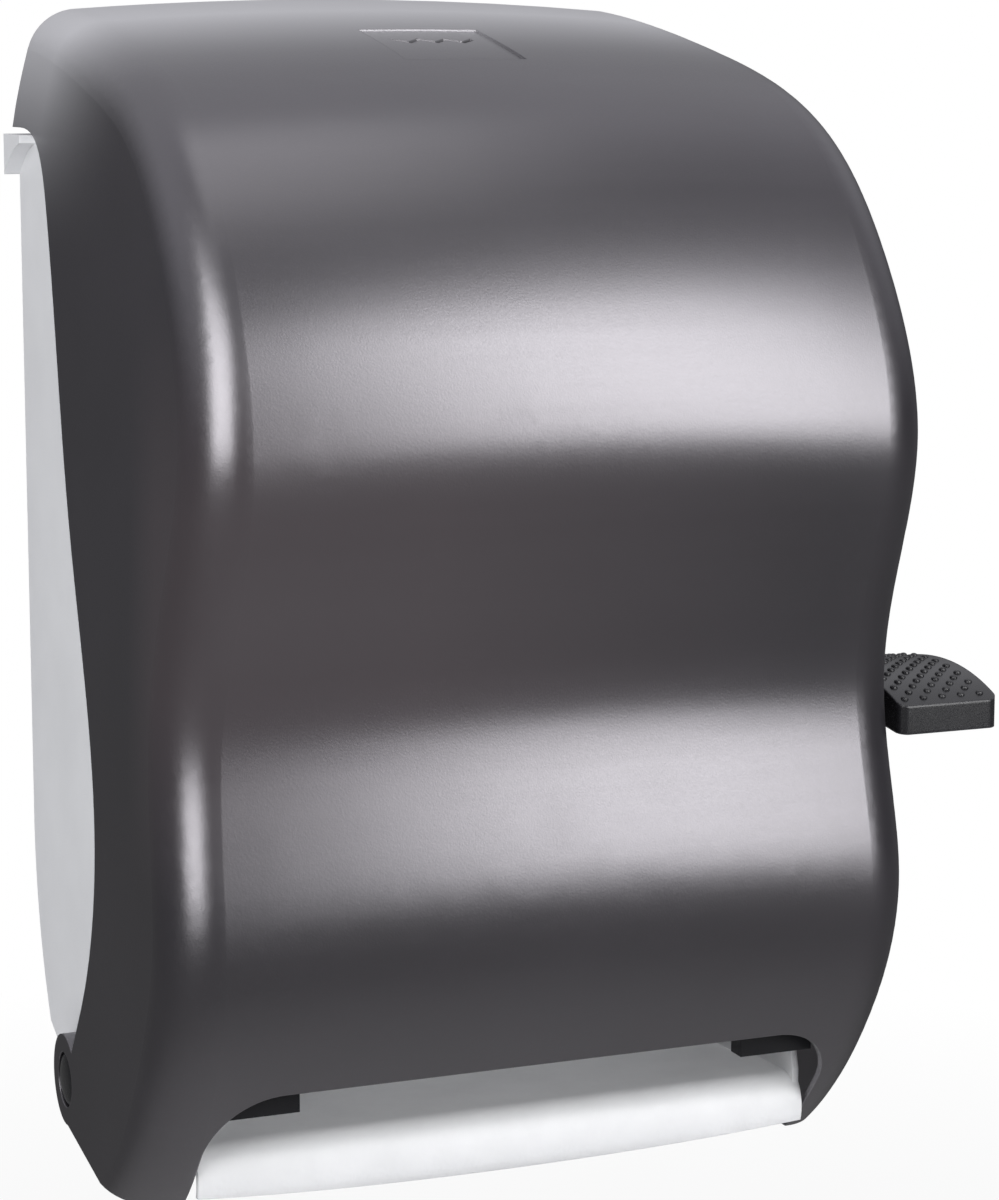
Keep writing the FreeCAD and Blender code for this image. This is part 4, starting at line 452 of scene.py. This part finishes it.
reach = put(screw_tree, "ShaderNodeMath", {0: length, 1: screw_in["Shank start"]},
            operation="SUBTRACT").outputs[0]
size = put(screw_tree, "ShaderNodeCombineXYZ", {"X": 1.0, "Y": 1.0, "Z": reach}).outputs[0]
inwards = product(screw_tree, screw_in["Shank start"], -1.0)
below = put(screw_tree, "ShaderNodeVectorMath", {0: facing, "Scale": inwards},
            operation="SCALE").outputs[0]
sunk = put(screw_tree, "GeometryNodeSetPosition",
           {"Geometry": screw_in["Geometry"], "Offset": below}).outputs[0]
shanks = put(screw_tree, "GeometryNodeInstanceOnPoints",
             {"Points": sunk, "Instance": rod_down, "Rotation": turned_to, "Scale": size}).outputs[0]
both = put(screw_tree, "GeometryNodeJoinGeometry")
screw_tree.links.new(heads, both.inputs[0])
screw_tree.links.new(shanks, both.inputs[0])
close_tree(screw_tree, both.outputs[0], screw_in["Material"])

for label, body in (("frame_screws", "chassis"), ("chute_screws", "chassis"),
                    ("tear_bar_screws", "chassis"), ("strike_screws", "chassis"),
                    ("lock_screws", "cover")):
    tops, ways, lengths = zip(*[screw_seat(points) for points in solids_of(label)])
    places = point_cloud("screw_points", tops, facing=ways, length=lengths)
    made = grown(places, screw_tree, {"Head": screw_head, "Shank radius": SHANK_RADIUS,
                                      "Shank start": SHANK_START, "Material": zinc},
                 label + "_cross_head")
    smooth_shaded(made, angle=28)
    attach(made, body)
    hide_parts(label)
bpy.data.objects.remove(screw_head)


# ------------------------------------------------------------------ paper chute
# Rounded lip under the mouth that turns the sheet forwards. Light grey-white ABS with a coarser
# grain than the chassis, screwed between the side frames.

CHUTE_GREY = (0.78, 0.785, 0.80)


def let_light_in(material, weight, reach, per_colour=(1.0, 1.0, 1.0)):
    """Light scatters inside the plastic, as far as the reach."""
    surface = material.node_tree.nodes["Principled BSDF"].inputs
    surface["Subsurface Weight"].default_value = weight
    surface["Subsurface Scale"].default_value = reach
    surface["Subsurface Radius"].default_value = per_colour


chute_abs = moulded("chute_abs", CHUTE_GREY, roughness=0.40, grain=520.0, depth=0.00010, mottle=0.07,
                    edge_gain=1.15)
let_light_in(chute_abs, weight=0.70, reach=0.014)
dress(chute_abs, "chute_lip")


# ------------------------------------------------------------------ tear bar
# Stainless strip with fine teeth that cuts the sheet, on two black brackets behind the mouth's
# upper edge. Ground lengthwise, so its drawing lines run along the bar.

STAINLESS = (0.70, 0.70, 0.71)
BRACKET_BLACK = (0.010, 0.010, 0.012)

ground_steel = metal("ground_stainless", STAINLESS, roughness=0.24, stretch=(0.03, 1.0, 1.0),
                     scale=2600.0, depth=0.0000008, rounding=0.00015)
dress(ground_steel, "tear_bar")
black_plain = moulded("black_plain", BRACKET_BLACK, roughness=0.46, grain=900.0, depth=0.00006,
                      mottle=0.12, edge_gain=2.2, reflect=0.25)
dress(black_plain, "tear_bar_bracket_left", "tear_bar_bracket_right")


# ------------------------------------------------------------------ stub roll cradle
# Open tray that holds a nearly used-up roll under the new one. White ABS like the chassis, moulded
# in one piece, with three feet on the back plate.

dress(white_abs, "stub_roll_cradle")


# ------------------------------------------------------------------ roll arms and hubs
# Two springy white arms reach forwards from lugs on the chassis; each ends in a black hub that
# turns inside the core of the towel roll.

HUB_BLACK = (0.020, 0.020, 0.022)

dress(white_abs, "roll_arm_left", "roll_arm_right")
dress(zinc, "roll_arm_pin_left", "roll_arm_pin_right")
hub_plastic = moulded("hub_black", HUB_BLACK, roughness=0.34, grain=800.0, depth=0.00005, mottle=0.12,
                      edge_gain=2.0)
dress(hub_plastic, "roll_hub_left", "roll_hub_right")


# ------------------------------------------------------------------ gears and bushings
# Natural acetal: sector gear on the lever shaft, idler and clutch gear, and the bushings of both
# shafts. Slightly waxy, a little see-through in the teeth.

ACETAL = (0.74, 0.73, 0.68)

acetal = moulded("acetal", ACETAL, roughness=0.30, grain=500.0, depth=0.00004, mottle=0.04,
                 rounding=0.0003, edge_gain=1.12)
let_light_in(acetal, weight=0.15, reach=0.0015, per_colour=(1.0, 0.9, 0.7))
dress(acetal, "sector_gear", "idler_gear", "clutch_gear", "lever_bushing", "feed_bushing_left",
      "feed_bushing_right")


# ------------------------------------------------------------------ shafts, pins and clips
# Drawn steel rods and stamped spring clips of the mechanism, lightly oiled, with turning lines
# around the rods.

DRAWN = (0.52, 0.52, 0.54)
SPRING_GREY = (0.42, 0.41, 0.40)

drawn_steel = metal("drawn_steel", DRAWN, roughness=0.26, stretch=(1.0, 0.05, 0.05), scale=1800.0)
dress(drawn_steel, "idler_axle", "pressure_pivot_pins", "transfer_pivot_pins", "lever_shaft",
      "feed_shaft", "pinch_shaft", "pressure_tie_bar", "lever_screw")
spring_steel = metal("spring_steel", SPRING_GREY, roughness=0.30, scale=1200.0, rounding=0.0002)
dress(spring_steel, "idler_clip", "feed_clip")
dress(zinc, "latch_strike")


# ------------------------------------------------------------------ wound springs
# Return spring of the lever and the two springs that press the pinch roller, wound from round music
# wire; their legs rest on the frame and on the arm that they push. The latch spring keeps its own
# mesh, because that one is squashed as the latch moves.

LEVER_AXIS = (-0.060, -0.112)
LEVER_COIL = dict(radius=0.0080, wire=0.0007, turns=4)
LEVER_PITCH, LEVER_TURN_SHORT, LEVER_LEG = 0.0015, 0.3, 0.00065
PRESSURE_COIL = dict(radius=0.0031, wire=0.0005, turns=4)
PRESSURE_LEG = 0.00044

spring_tree, spring_in = new_tree("wound spring", {"Turns": "Float", "Coil radius": "Float",
                                                   "Length": "Float", "Wire radius": "Float",
                                                   "Material": "Material"})
spiral = put(spring_tree, "GeometryNodeCurveSpiral",
             {"Resolution": 28, "Rotations": spring_in["Turns"],
              "Start Radius": spring_in["Coil radius"], "End Radius": spring_in["Coil radius"],
              "Height": spring_in["Length"]}).outputs[0]
wire_round = put(spring_tree, "GeometryNodeCurvePrimitiveCircle",
                 {"Resolution": 10, "Radius": spring_in["Wire radius"]}).outputs[0]
wire_mesh = put(spring_tree, "GeometryNodeCurveToMesh",
                {"Curve": spiral, "Profile Curve": wire_round, "Fill Caps": True}).outputs[0]
close_tree(spring_tree, wire_mesh, spring_in["Material"])


def wound(name, start, length, radius, wire, turns):
    """Coil that starts at a place and runs along X."""
    seed = point_cloud("spring_seed", [(0, 0, 0)])
    coil = grown(seed, spring_tree, {"Turns": float(turns), "Coil radius": radius, "Length": length,
                                     "Wire radius": wire, "Material": spring_steel}, name)
    coil.data.transform(Matrix.Translation(start) @ Matrix.Rotation(math.radians(90), 4, "Y"))
    return coil


def wire_leg(name, first, second, wire):
    """Straight end of a spring's wire."""
    run = Vector(second) - Vector(first)
    leg = turned(name, [(0.0, 0.0), (0.0, wire), (run.length, wire), (run.length, 0.0)], spring_steel,
                 along="Z", steps=12)
    leg.data.transform(Matrix.Translation(first) @ run.to_track_quat("Z", "Y").to_matrix().to_4x4())
    return leg


low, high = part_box("lever_return_spring")
axis_y, axis_z = LEVER_AXIS
coil_start, coil_end = low.x + LEVER_COIL["wire"], high.x - LEVER_COIL["wire"]
coil_long = min(LEVER_PITCH * (LEVER_COIL["turns"] - LEVER_TURN_SHORT), coil_end - coil_start)
coil = wound("coil", (coil_start, axis_y, axis_z), coil_long, **LEVER_COIL)
leg_y, leg_z = axis_y - LEVER_COIL["radius"], axis_z + LEVER_COIL["radius"]
inner = wire_leg("inner", (coil_start, leg_y, axis_z), (coil_start, leg_y, low.z), LEVER_LEG)
outer = wire_leg("outer", (coil_end, axis_y, leg_z), (coil_end, high.y, leg_z), LEVER_LEG)
lever_spring = joined("lever_spring_wire", [coil, inner, outer])
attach(lever_spring, "lever")
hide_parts("lever_return_spring")

pressure_parts = []
coil_outside = PRESSURE_COIL["radius"] + PRESSURE_COIL["wire"]
for k, points in enumerate(solids_of("pressure_springs")):
    low, high = extent(points)
    axis_y, axis_z = high.y - coil_outside, high.z - coil_outside
    first, long = low.x + PRESSURE_COIL["wire"], high.x - low.x - 2 * PRESSURE_COIL["wire"]
    leg_y = axis_y - PRESSURE_COIL["radius"]
    pressure_parts.append(wound(f"press_coil_{k}", (first, axis_y, axis_z), long, **PRESSURE_COIL))
    pressure_parts.append(wire_leg(f"press_leg_{k}", (first, leg_y, axis_z), (first, leg_y, low.z),
                                   PRESSURE_LEG))
pressure_wire = joined("pressure_spring_wire", pressure_parts)
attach(pressure_wire, "chassis")
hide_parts("pressure_springs")

dress(spring_steel, "latch_spring")


# ------------------------------------------------------------------ rollers
# Feed roller: grey core with four ribbed rubber sleeves. The smooth rubber pinch roller presses the
# sheet on it, held by two grey arms; a black transfer bar lies behind.

RUBBER = (0.022, 0.022, 0.022)
SLEEVE_RIB, SLEEVE_GROOVE = 0.0012, 0.0004
CREST_START, CREST_END, CREST_FOOT = 0.30, 0.70, 0.86

rubber = moulded("rubber", RUBBER, roughness=0.62, grain=1000.0, depth=0.00012, mottle=0.18,
                 rounding=0.0004, edge_gain=1.6, reflect=0.35)
dress(nylon, "feed_roller_core", "pressure_arm_left", "pressure_arm_right")
dress(rubber, "pinch_roller", "lever_bumper")
dress(black_plain, "transfer_bar")

sleeves = []
for k, points in enumerate(solids_of("feed_roller_grips")):
    low, high = extent(points)
    middle = (low + high) / 2
    radius = (high.z - low.z) / 2
    bore = min(math.hypot(point.y - middle.y, point.z - middle.z) for point in points)
    count = int((high.x - low.x) / SLEEVE_RIB)
    pitch = (high.x - low.x) / count
    profile = [(0.0, bore), (0.0, radius - SLEEVE_GROOVE)]
    for step in range(count):
        profile += [((step + CREST_START) * pitch, radius), ((step + CREST_END) * pitch, radius),
                    ((step + CREST_FOOT) * pitch, radius - SLEEVE_GROOVE)]
    profile[-1] = (high.x - low.x, radius - SLEEVE_GROOVE)
    profile.append((high.x - low.x, bore))
    sleeves.append(turned(f"sleeve_{k}", profile, rubber, (low.x, middle.y, middle.z), "X", steps=40,
                          ring=True))
grips = joined("ribbed_sleeves", sleeves)
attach(grips, "feed_roller")
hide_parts("feed_roller_grips")


# ------------------------------------------------------------------ lever
# Black lever that the user presses: a broad paddle with raised studs for grip, moulded in one piece
# with its arm and hub, keyed to the steel shaft and held by a screw.

LEVER_BLACK = (0.014, 0.014, 0.016)
STUD_RADIUS, STUD_HEIGHT = 0.0015, 0.0010
STUD_ACROSS, STUD_ALONG, STUD_ROWS = 0.0078, 0.0041, 18
PADDLE_WIDTH, STUD_MARGIN, STUD_FRONT = 0.041, 0.0042, 0.0047
DROP_HEIGHT, DROP_LIMIT = 0.01, 0.05

# edge_gain 5.0 paints a strong highlight along the paddle's rounded edges.
lever_black = moulded("lever_black", LEVER_BLACK, roughness=0.25, grain=3200.0, depth=0.000001,
                      mottle=0.14, rounding=0.0013, edge_gain=5.0, reflect=0.75)
dress(lever_black, "lever_handle")

stud_tree, stud_in = new_tree("grip studs", {"Paddle": "Object", "Stud radius": "Float",
                                             "Stud height": "Float", "Material": "Material"})
paddle = put(stud_tree, "GeometryNodeObjectInfo", {"Object": stud_in["Paddle"]}).outputs["Geometry"]
hit = put(stud_tree, "GeometryNodeRaycast", {"Target Geometry": paddle, "Ray Direction": (0, 0, -1),
                                             "Ray Length": DROP_LIMIT})
seated = put(stud_tree, "GeometryNodeSetPosition",
             {"Geometry": stud_in["Geometry"], "Selection": hit.outputs["Is Hit"],
              "Position": hit.outputs["Hit Position"]}).outputs[0]
upright = put(stud_tree, "GeometryNodeStoreNamedAttribute",
              {"Geometry": seated, "Name": "up", "Value": hit.outputs["Hit Normal"]},
              data_type="FLOAT_VECTOR", domain="POINT").outputs[0]
up = put(stud_tree, "GeometryNodeInputNamedAttribute", {"Name": "up"},
         data_type="FLOAT_VECTOR").outputs[0]
lean = put(stud_tree, "FunctionNodeAlignRotationToVector", {"Vector": up}, axis="Z").outputs[0]
dome = put(stud_tree, "GeometryNodeMeshUVSphere",
           {"Segments": 14, "Rings": 8, "Radius": 1.0}).outputs[0]
stud_size = put(stud_tree, "ShaderNodeCombineXYZ",
                {"X": stud_in["Stud radius"], "Y": stud_in["Stud radius"],
                 "Z": stud_in["Stud height"]}).outputs[0]
studs_set = put(stud_tree, "GeometryNodeInstanceOnPoints",
                {"Points": upright, "Instance": dome, "Rotation": lean, "Scale": stud_size}).outputs[0]
close_tree(stud_tree, studs_set, stud_in["Material"])

low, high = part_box("lever_handle")
stud_places = []
for row in range(STUD_ROWS):
    x = high.x - PADDLE_WIDTH + STUD_MARGIN + (STUD_ACROSS / 2 if row % 2 else 0.0)
    while x < high.x - STUD_MARGIN:
        stud_places.append((x, low.y + STUD_FRONT + row * STUD_ALONG, high.z + DROP_HEIGHT))
        x += STUD_ACROSS
stud_cloud = point_cloud("stud_points", stud_places)
studs = grown(stud_cloud, stud_tree,
              {"Paddle": nodes["lever_handle"], "Stud radius": STUD_RADIUS, "Stud height": STUD_HEIGHT,
               "Material": lever_black}, "paddle_studs")
smooth_shaded(studs, angle=60)
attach(studs, "lever")


# ------------------------------------------------------------------ cover
# Front cover of dark smoke polystyrene with a pearl shine, moulded in one piece: bulged front, flat
# sides, two feet beside the mouth and the sunk pad of the lock. It hangs on two pins at its ears.

SMOKE = (0.0100, 0.0088, 0.0112)
CLOUD_SCALE, CLOUD_DARK, CLOUD_PALE = 9.0, 0.7, 1.4
FLAKE_SCALE, FLAKE_FROM, FLAKE_SHARE, FLAKE_GAIN = 2300.0, 0.82, 0.35, 3.0
SMOKE_WARM = (0.034, 0.026, 0.029)
WARM_RIGHT, WARM_LEFT = 0.10, -0.05
WARM_HEIGHT, WARM_OUTER, WARM_INNER = -0.02, 0.10, 0.03
WARM_BACK, WARM_FRONT = -0.16, -0.19
# Painted light: the rear of the top is painted pale where light shines through the smoke plastic.
SMOKE_SHINE_THROUGH = (0.50, 0.50, 0.52)
SHINE_BELOW, SHINE_TOP, SHINE_FRONT, SHINE_WALL, SHINE_FALL = 0.085, 0.165, -0.140, -0.040, 1.8
# Painted highlight: the cover's edges are painted paler, partly as rubbed wear and partly as a light
# rim along them.
SMOKE_RUB_HIGHLIGHT = (0.12, 0.115, 0.125)
EDGE_RADIUS, RUB_HIGHLIGHT_SHARE = 0.0009, 0.35
PEARL_GRAIN, PEARL_DEPTH = 1500.0, 0.000025
POLISHED, DULLER = 0.295, 0.355
FLOW_STRETCH, FLOW_POLISHED, FLOW_DULLER = (3.0, 60.0, 190.0), -0.006, 0.010
PEARL_IOR, PEARL_LEVEL = 1.86, 1.0
PEARL_TINT = (0.975, 0.945, 1.0)

smoke = bpy.data.materials.new("smoke_pearl")
smoke.use_nodes = True
tree = smoke.node_tree
place = put(tree, "ShaderNodeTexCoord").outputs["Object"]
cloud = noise(tree, place, CLOUD_SCALE, detail=5.0)
fine = noise(tree, place, PEARL_GRAIN, detail=2.0)
tone = clouded(tree, cloud, opaque(SMOKE, CLOUD_DARK), opaque(SMOKE, CLOUD_PALE))
flakes = put(tree, "ShaderNodeTexVoronoi", {"Vector": place, "Scale": FLAKE_SCALE}).outputs["Color"]
flake = put(tree, "ShaderNodeSeparateColor", {0: flakes}).outputs[0]
tone = blend_colours(tree, rescale(tree, flake, FLAKE_FROM, 1.0, 0.0, FLAKE_SHARE), tone,
                     opaque(SMOKE, FLAKE_GAIN))
spot = put(tree, "ShaderNodeSeparateXYZ", {0: place}).outputs
to_left = rescale(tree, spot["X"], WARM_RIGHT, WARM_LEFT, 0.0, 1.0)
off_middle = put(tree, "ShaderNodeMath", {0: spot["Z"], 1: WARM_HEIGHT},
                 operation="SUBTRACT").outputs[0]
off_middle = put(tree, "ShaderNodeMath", {0: off_middle}, operation="ABSOLUTE").outputs[0]
to_middle = rescale(tree, off_middle, WARM_OUTER, WARM_INNER, 0.0, 1.0)
to_front = rescale(tree, spot["Y"], WARM_BACK, WARM_FRONT, 0.0, 1.0)
roll_side = product(tree, product(tree, to_left, to_middle), to_front)
tone = blend_colours(tree, roll_side, tone, opaque(SMOKE_WARM))
# Painted light shining through the rear of the top: the pale colour grows towards the top and towards
# the wall.
near_top = rescale(tree, spot["Z"], SHINE_BELOW, SHINE_TOP, 0.0, 1.0)
near_wall = rescale(tree, spot["Y"], SHINE_FRONT, SHINE_WALL, 0.0, 1.0)
painted_shine = put(tree, "ShaderNodeMath", {0: product(tree, near_top, near_wall), 1: SHINE_FALL},
               operation="POWER").outputs[0]
tone = blend_colours(tree, painted_shine, tone, opaque(SMOKE_SHINE_THROUGH))
rounded, edge = rounded_edges(tree, EDGE_RADIUS)
# Edges painted paler: rubbed wear and a painted highlight along them.
tone = blend_colours(tree, product(tree, edge, RUB_HIGHLIGHT_SHARE), tone, opaque(SMOKE_RUB_HIGHLIGHT))
flow = put(tree, "ShaderNodeMapping", {"Vector": place, "Scale": FLOW_STRETCH}).outputs[0]
streak = grained(tree, noise(tree, flow, scale=1.0, detail=3.0), FLOW_POLISHED, FLOW_DULLER,
                 low=0.3, high=0.7)
rough = put(tree, "ShaderNodeMath", {0: grained(tree, fine, POLISHED, DULLER), 1: streak},
            operation="ADD").outputs[0]
surface = finish_surface(tree, tone, rough, fine, PEARL_DEPTH, rounded)
surface["IOR"].default_value = PEARL_IOR
surface["Specular Tint"].default_value = opaque(PEARL_TINT)
surface["Specular IOR Level"].default_value = PEARL_LEVEL
dress(smoke, "front_cover")


# ------------------------------------------------------------------ hinge pins
# Black snap-in pins that go through the cover's ears into the chassis; only their polished domed
# caps show. The cover turns about them.

PIN_BLACK = (0.010, 0.010, 0.011)
CAP_RADIUS, CAP_BACK, PIN_RADIUS, PIN_CHAMFER = 0.0098, 0.0030, 0.0049, 0.0008
CAP_DOME = ((0.0, 0.0), (0.00004, 0.0030), (0.0003, 0.0062), (0.0008, 0.0084), (0.0016, CAP_RADIUS))
PIN_AXIS = (-0.070, -0.216)

pin_black = moulded("pin_black", PIN_BLACK, roughness=0.12, grain=600.0, depth=0.00001, mottle=0.1,
                    edge_gain=2.0)
for side in ("left", "right"):
    low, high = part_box(f"hinge_pin_{side}")
    outward = -1 if side == "left" else 1
    face = low.x if side == "left" else high.x
    long = high.x - low.x
    profile = [*CAP_DOME, (CAP_BACK, CAP_RADIUS), (CAP_BACK, PIN_RADIUS),
               (long - PIN_CHAMFER, PIN_RADIUS), (long, PIN_RADIUS - PIN_CHAMFER), (long, 0.0)]
    pin = turned(f"domed_pin_{side}", [(-outward * reach, radius) for reach, radius in profile],
                 pin_black, (face, *PIN_AXIS), "X", steps=64)
    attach(pin, "chassis")
    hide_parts(f"hinge_pin_{side}")


# ------------------------------------------------------------------ lock
# Latch of the cover: a black housing with a slide that the key pushes down, under the zigzag slot in
# the top. The slide hooks behind the steel strike on the chassis shelf.

LOCK_BLACK = (0.014, 0.014, 0.015)

lock_black = moulded("lock_black", LOCK_BLACK, roughness=0.45, grain=800.0, depth=0.00006, mottle=0.12,
                     edge_gain=2.0)
dress(lock_black, "lock_housing", "latch_slide")


# ------------------------------------------------------------------ studio
# Plain pale floor, low enough for the open cover, white surroundings and three soft lamps: tall ones
# at the front right and the front left, and a wide one overhead.

FLOOR_SIZE, FLOOR_DROP = 8.0, 0.44
PAPER_WHITE = (0.80, 0.80, 0.80)
WHITE_NEAR, WHITE_FAR, WHITE_AT_FOOT = 0.7, 1.8, 0.80
GLOSS_NEAR, GLOSS_FAR, GLOSS_SHARE = 0.4, 1.1, 0.93
FLOOR_IN_GLOSS = (0.55, 0.10)
ROOM_COLOUR, ROOM_LEVEL = (0.94, 0.95, 1.0), 0.36
BACKDROP_COLOUR = (0.95, 0.95, 1.0)
BACKDROP_LOW, BACKDROP_HIGH, BACKDROP_LEVEL = 0.05, 0.50, (0.12, 0.62)
BACKDROP_FRONT, BACKDROP_REAR, FRONT_SHARE = -0.25, 0.30, 0.30
AIM = Vector((0.0, -0.12, -0.03))
CAMERA_PLACE = (-0.449958, -1.252209, 0.161710)
CAMERA_PITCH, CAMERA_YAW = 0.16191, 0.39054
CAMERA_LENS, CAMERA_SENSOR, CAMERA_CLIP = 101.997, 36.0, (0.05, 50.0)


def ray_kinds(tree):
    """Masks of what the camera sees directly and of what glossy faces mirror."""
    seen = put(tree, "ShaderNodeLightPath").outputs
    direct = put(tree, "ShaderNodeMath", {0: seen["Is Camera Ray"], 1: seen["Is Transmission Ray"]},
                 operation="MAXIMUM").outputs[0]
    return direct, seen["Is Glossy Ray"]


half, floor_z = FLOOR_SIZE / 2, cad_low.z - FLOOR_DROP
floor_mesh = bpy.data.meshes.new("floor")
floor_mesh.from_pydata([(-half, -half, floor_z), (half, -half, floor_z), (half, half, floor_z),
                        (-half, half, floor_z)], [], [(0, 1, 2, 3)])
floor = bpy.data.objects.new("floor", floor_mesh)
bpy.context.scene.collection.objects.link(floor)
floor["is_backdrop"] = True
paper = bpy.data.materials.new("floor_paper")
paper.use_nodes = True
tree = paper.node_tree
direct, glossy = ray_kinds(tree)
place = put(tree, "ShaderNodeTexCoord").outputs["Object"]
far = put(tree, "ShaderNodeVectorMath", {0: place}, operation="LENGTH").outputs["Value"]
white_share = product(tree, direct, rescale(tree, far, WHITE_NEAR, WHITE_FAR, WHITE_AT_FOOT, 1.0))
gloss_share = product(tree, glossy, GLOSS_SHARE)
share = put(tree, "ShaderNodeMath", {0: white_share, 1: gloss_share}, operation="MAXIMUM").outputs[0]
matt = tree.nodes["Principled BSDF"]
matt.inputs["Base Color"].default_value = opaque(PAPER_WHITE)
matt.inputs["Roughness"].default_value = 1.0
matt.inputs["Specular IOR Level"].default_value = 0.0
in_gloss = rescale(tree, far, GLOSS_NEAR, GLOSS_FAR, *FLOOR_IN_GLOSS)
strength = rescale(tree, glossy, 0.0, 1.0, 1.0, in_gloss)
glow = put(tree, "ShaderNodeEmission", {"Color": (1, 1, 1, 1), "Strength": strength}).outputs[0]
mixed = put(tree, "ShaderNodeMixShader", {0: share, 1: matt.outputs[0], 2: glow}).outputs[0]
tree.links.new(mixed, tree.nodes["Material Output"].inputs["Surface"])
floor_mesh.materials.append(paper)

world = bpy.data.worlds.new("studio")
bpy.context.scene.world = world
world.use_nodes = True
tree = world.node_tree
direct, glossy = ray_kinds(tree)
room = tree.nodes["Background"]
room.inputs["Color"].default_value = opaque(ROOM_COLOUR)
room.inputs["Strength"].default_value = ROOM_LEVEL
toward = put(tree, "ShaderNodeSeparateXYZ", {0: put(tree, "ShaderNodeTexCoord").outputs["Generated"]})
upward = rescale(tree, toward.outputs["Z"], BACKDROP_LOW, BACKDROP_HIGH, *BACKDROP_LEVEL)
rearward = rescale(tree, toward.outputs["Y"], BACKDROP_FRONT, BACKDROP_REAR, FRONT_SHARE, 1.0)
backdrop = put(tree, "ShaderNodeBackground", {"Color": opaque(BACKDROP_COLOUR),
                                              "Strength": product(tree, upward, rearward)}).outputs[0]
white = put(tree, "ShaderNodeBackground", {"Color": (1, 1, 1, 1), "Strength": 1.0}).outputs[0]
around = put(tree, "ShaderNodeMixShader", {0: glossy, 1: room.outputs[0], 2: backdrop}).outputs[0]
surroundings = put(tree, "ShaderNodeMixShader", {0: direct, 1: around, 2: white}).outputs[0]
tree.links.new(surroundings, tree.nodes["World Output"].inputs["Surface"])


def softbox(name, azimuth, elevation, distance, width, height, brightness):
    """Area lamp that faces the object; azimuth 0 is straight in front, positive to the right."""
    turn, rise = math.radians(azimuth), math.radians(elevation)
    away = Vector((math.sin(turn) * math.cos(rise), -math.cos(turn) * math.cos(rise), math.sin(rise)))
    data = bpy.data.lights.new(name, "AREA")
    data.shape, data.size, data.size_y = "RECTANGLE", width, height
    data.energy = brightness * math.pi * width * height
    lamp = bpy.data.objects.new(name, data)
    lamp.location = AIM + away * distance
    lamp.rotation_mode = "QUATERNION"
    lamp.rotation_quaternion = away.to_track_quat("Z", "Y")
    bpy.context.scene.collection.objects.link(lamp)


softbox("front_box", azimuth=28, elevation=20, distance=1.4, width=0.68, height=1.34, brightness=5.0)
softbox("left_box", azimuth=-47, elevation=23, distance=1.4, width=0.84, height=1.24, brightness=4.6)
softbox("top_box", azimuth=0, elevation=86, distance=1.5, width=1.0, height=0.9, brightness=0.8)

camera_data = bpy.data.cameras.new("camera")
camera_data.lens, camera_data.sensor_width = CAMERA_LENS, CAMERA_SENSOR
camera_data.clip_start, camera_data.clip_end = CAMERA_CLIP
camera = bpy.data.objects.new("camera", camera_data)
ahead = Vector((math.sin(CAMERA_YAW) * math.cos(CAMERA_PITCH),
                math.cos(CAMERA_YAW) * math.cos(CAMERA_PITCH), -math.sin(CAMERA_PITCH)))
camera.location = CAMERA_PLACE
camera.rotation_mode = "QUATERNION"
camera.rotation_quaternion = ahead.to_track_quat("-Z", "Y")
bpy.context.scene.collection.objects.link(camera)
bpy.context.scene.camera = camera
bpy.context.scene.view_settings.view_transform = "Standard"

low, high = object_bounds()
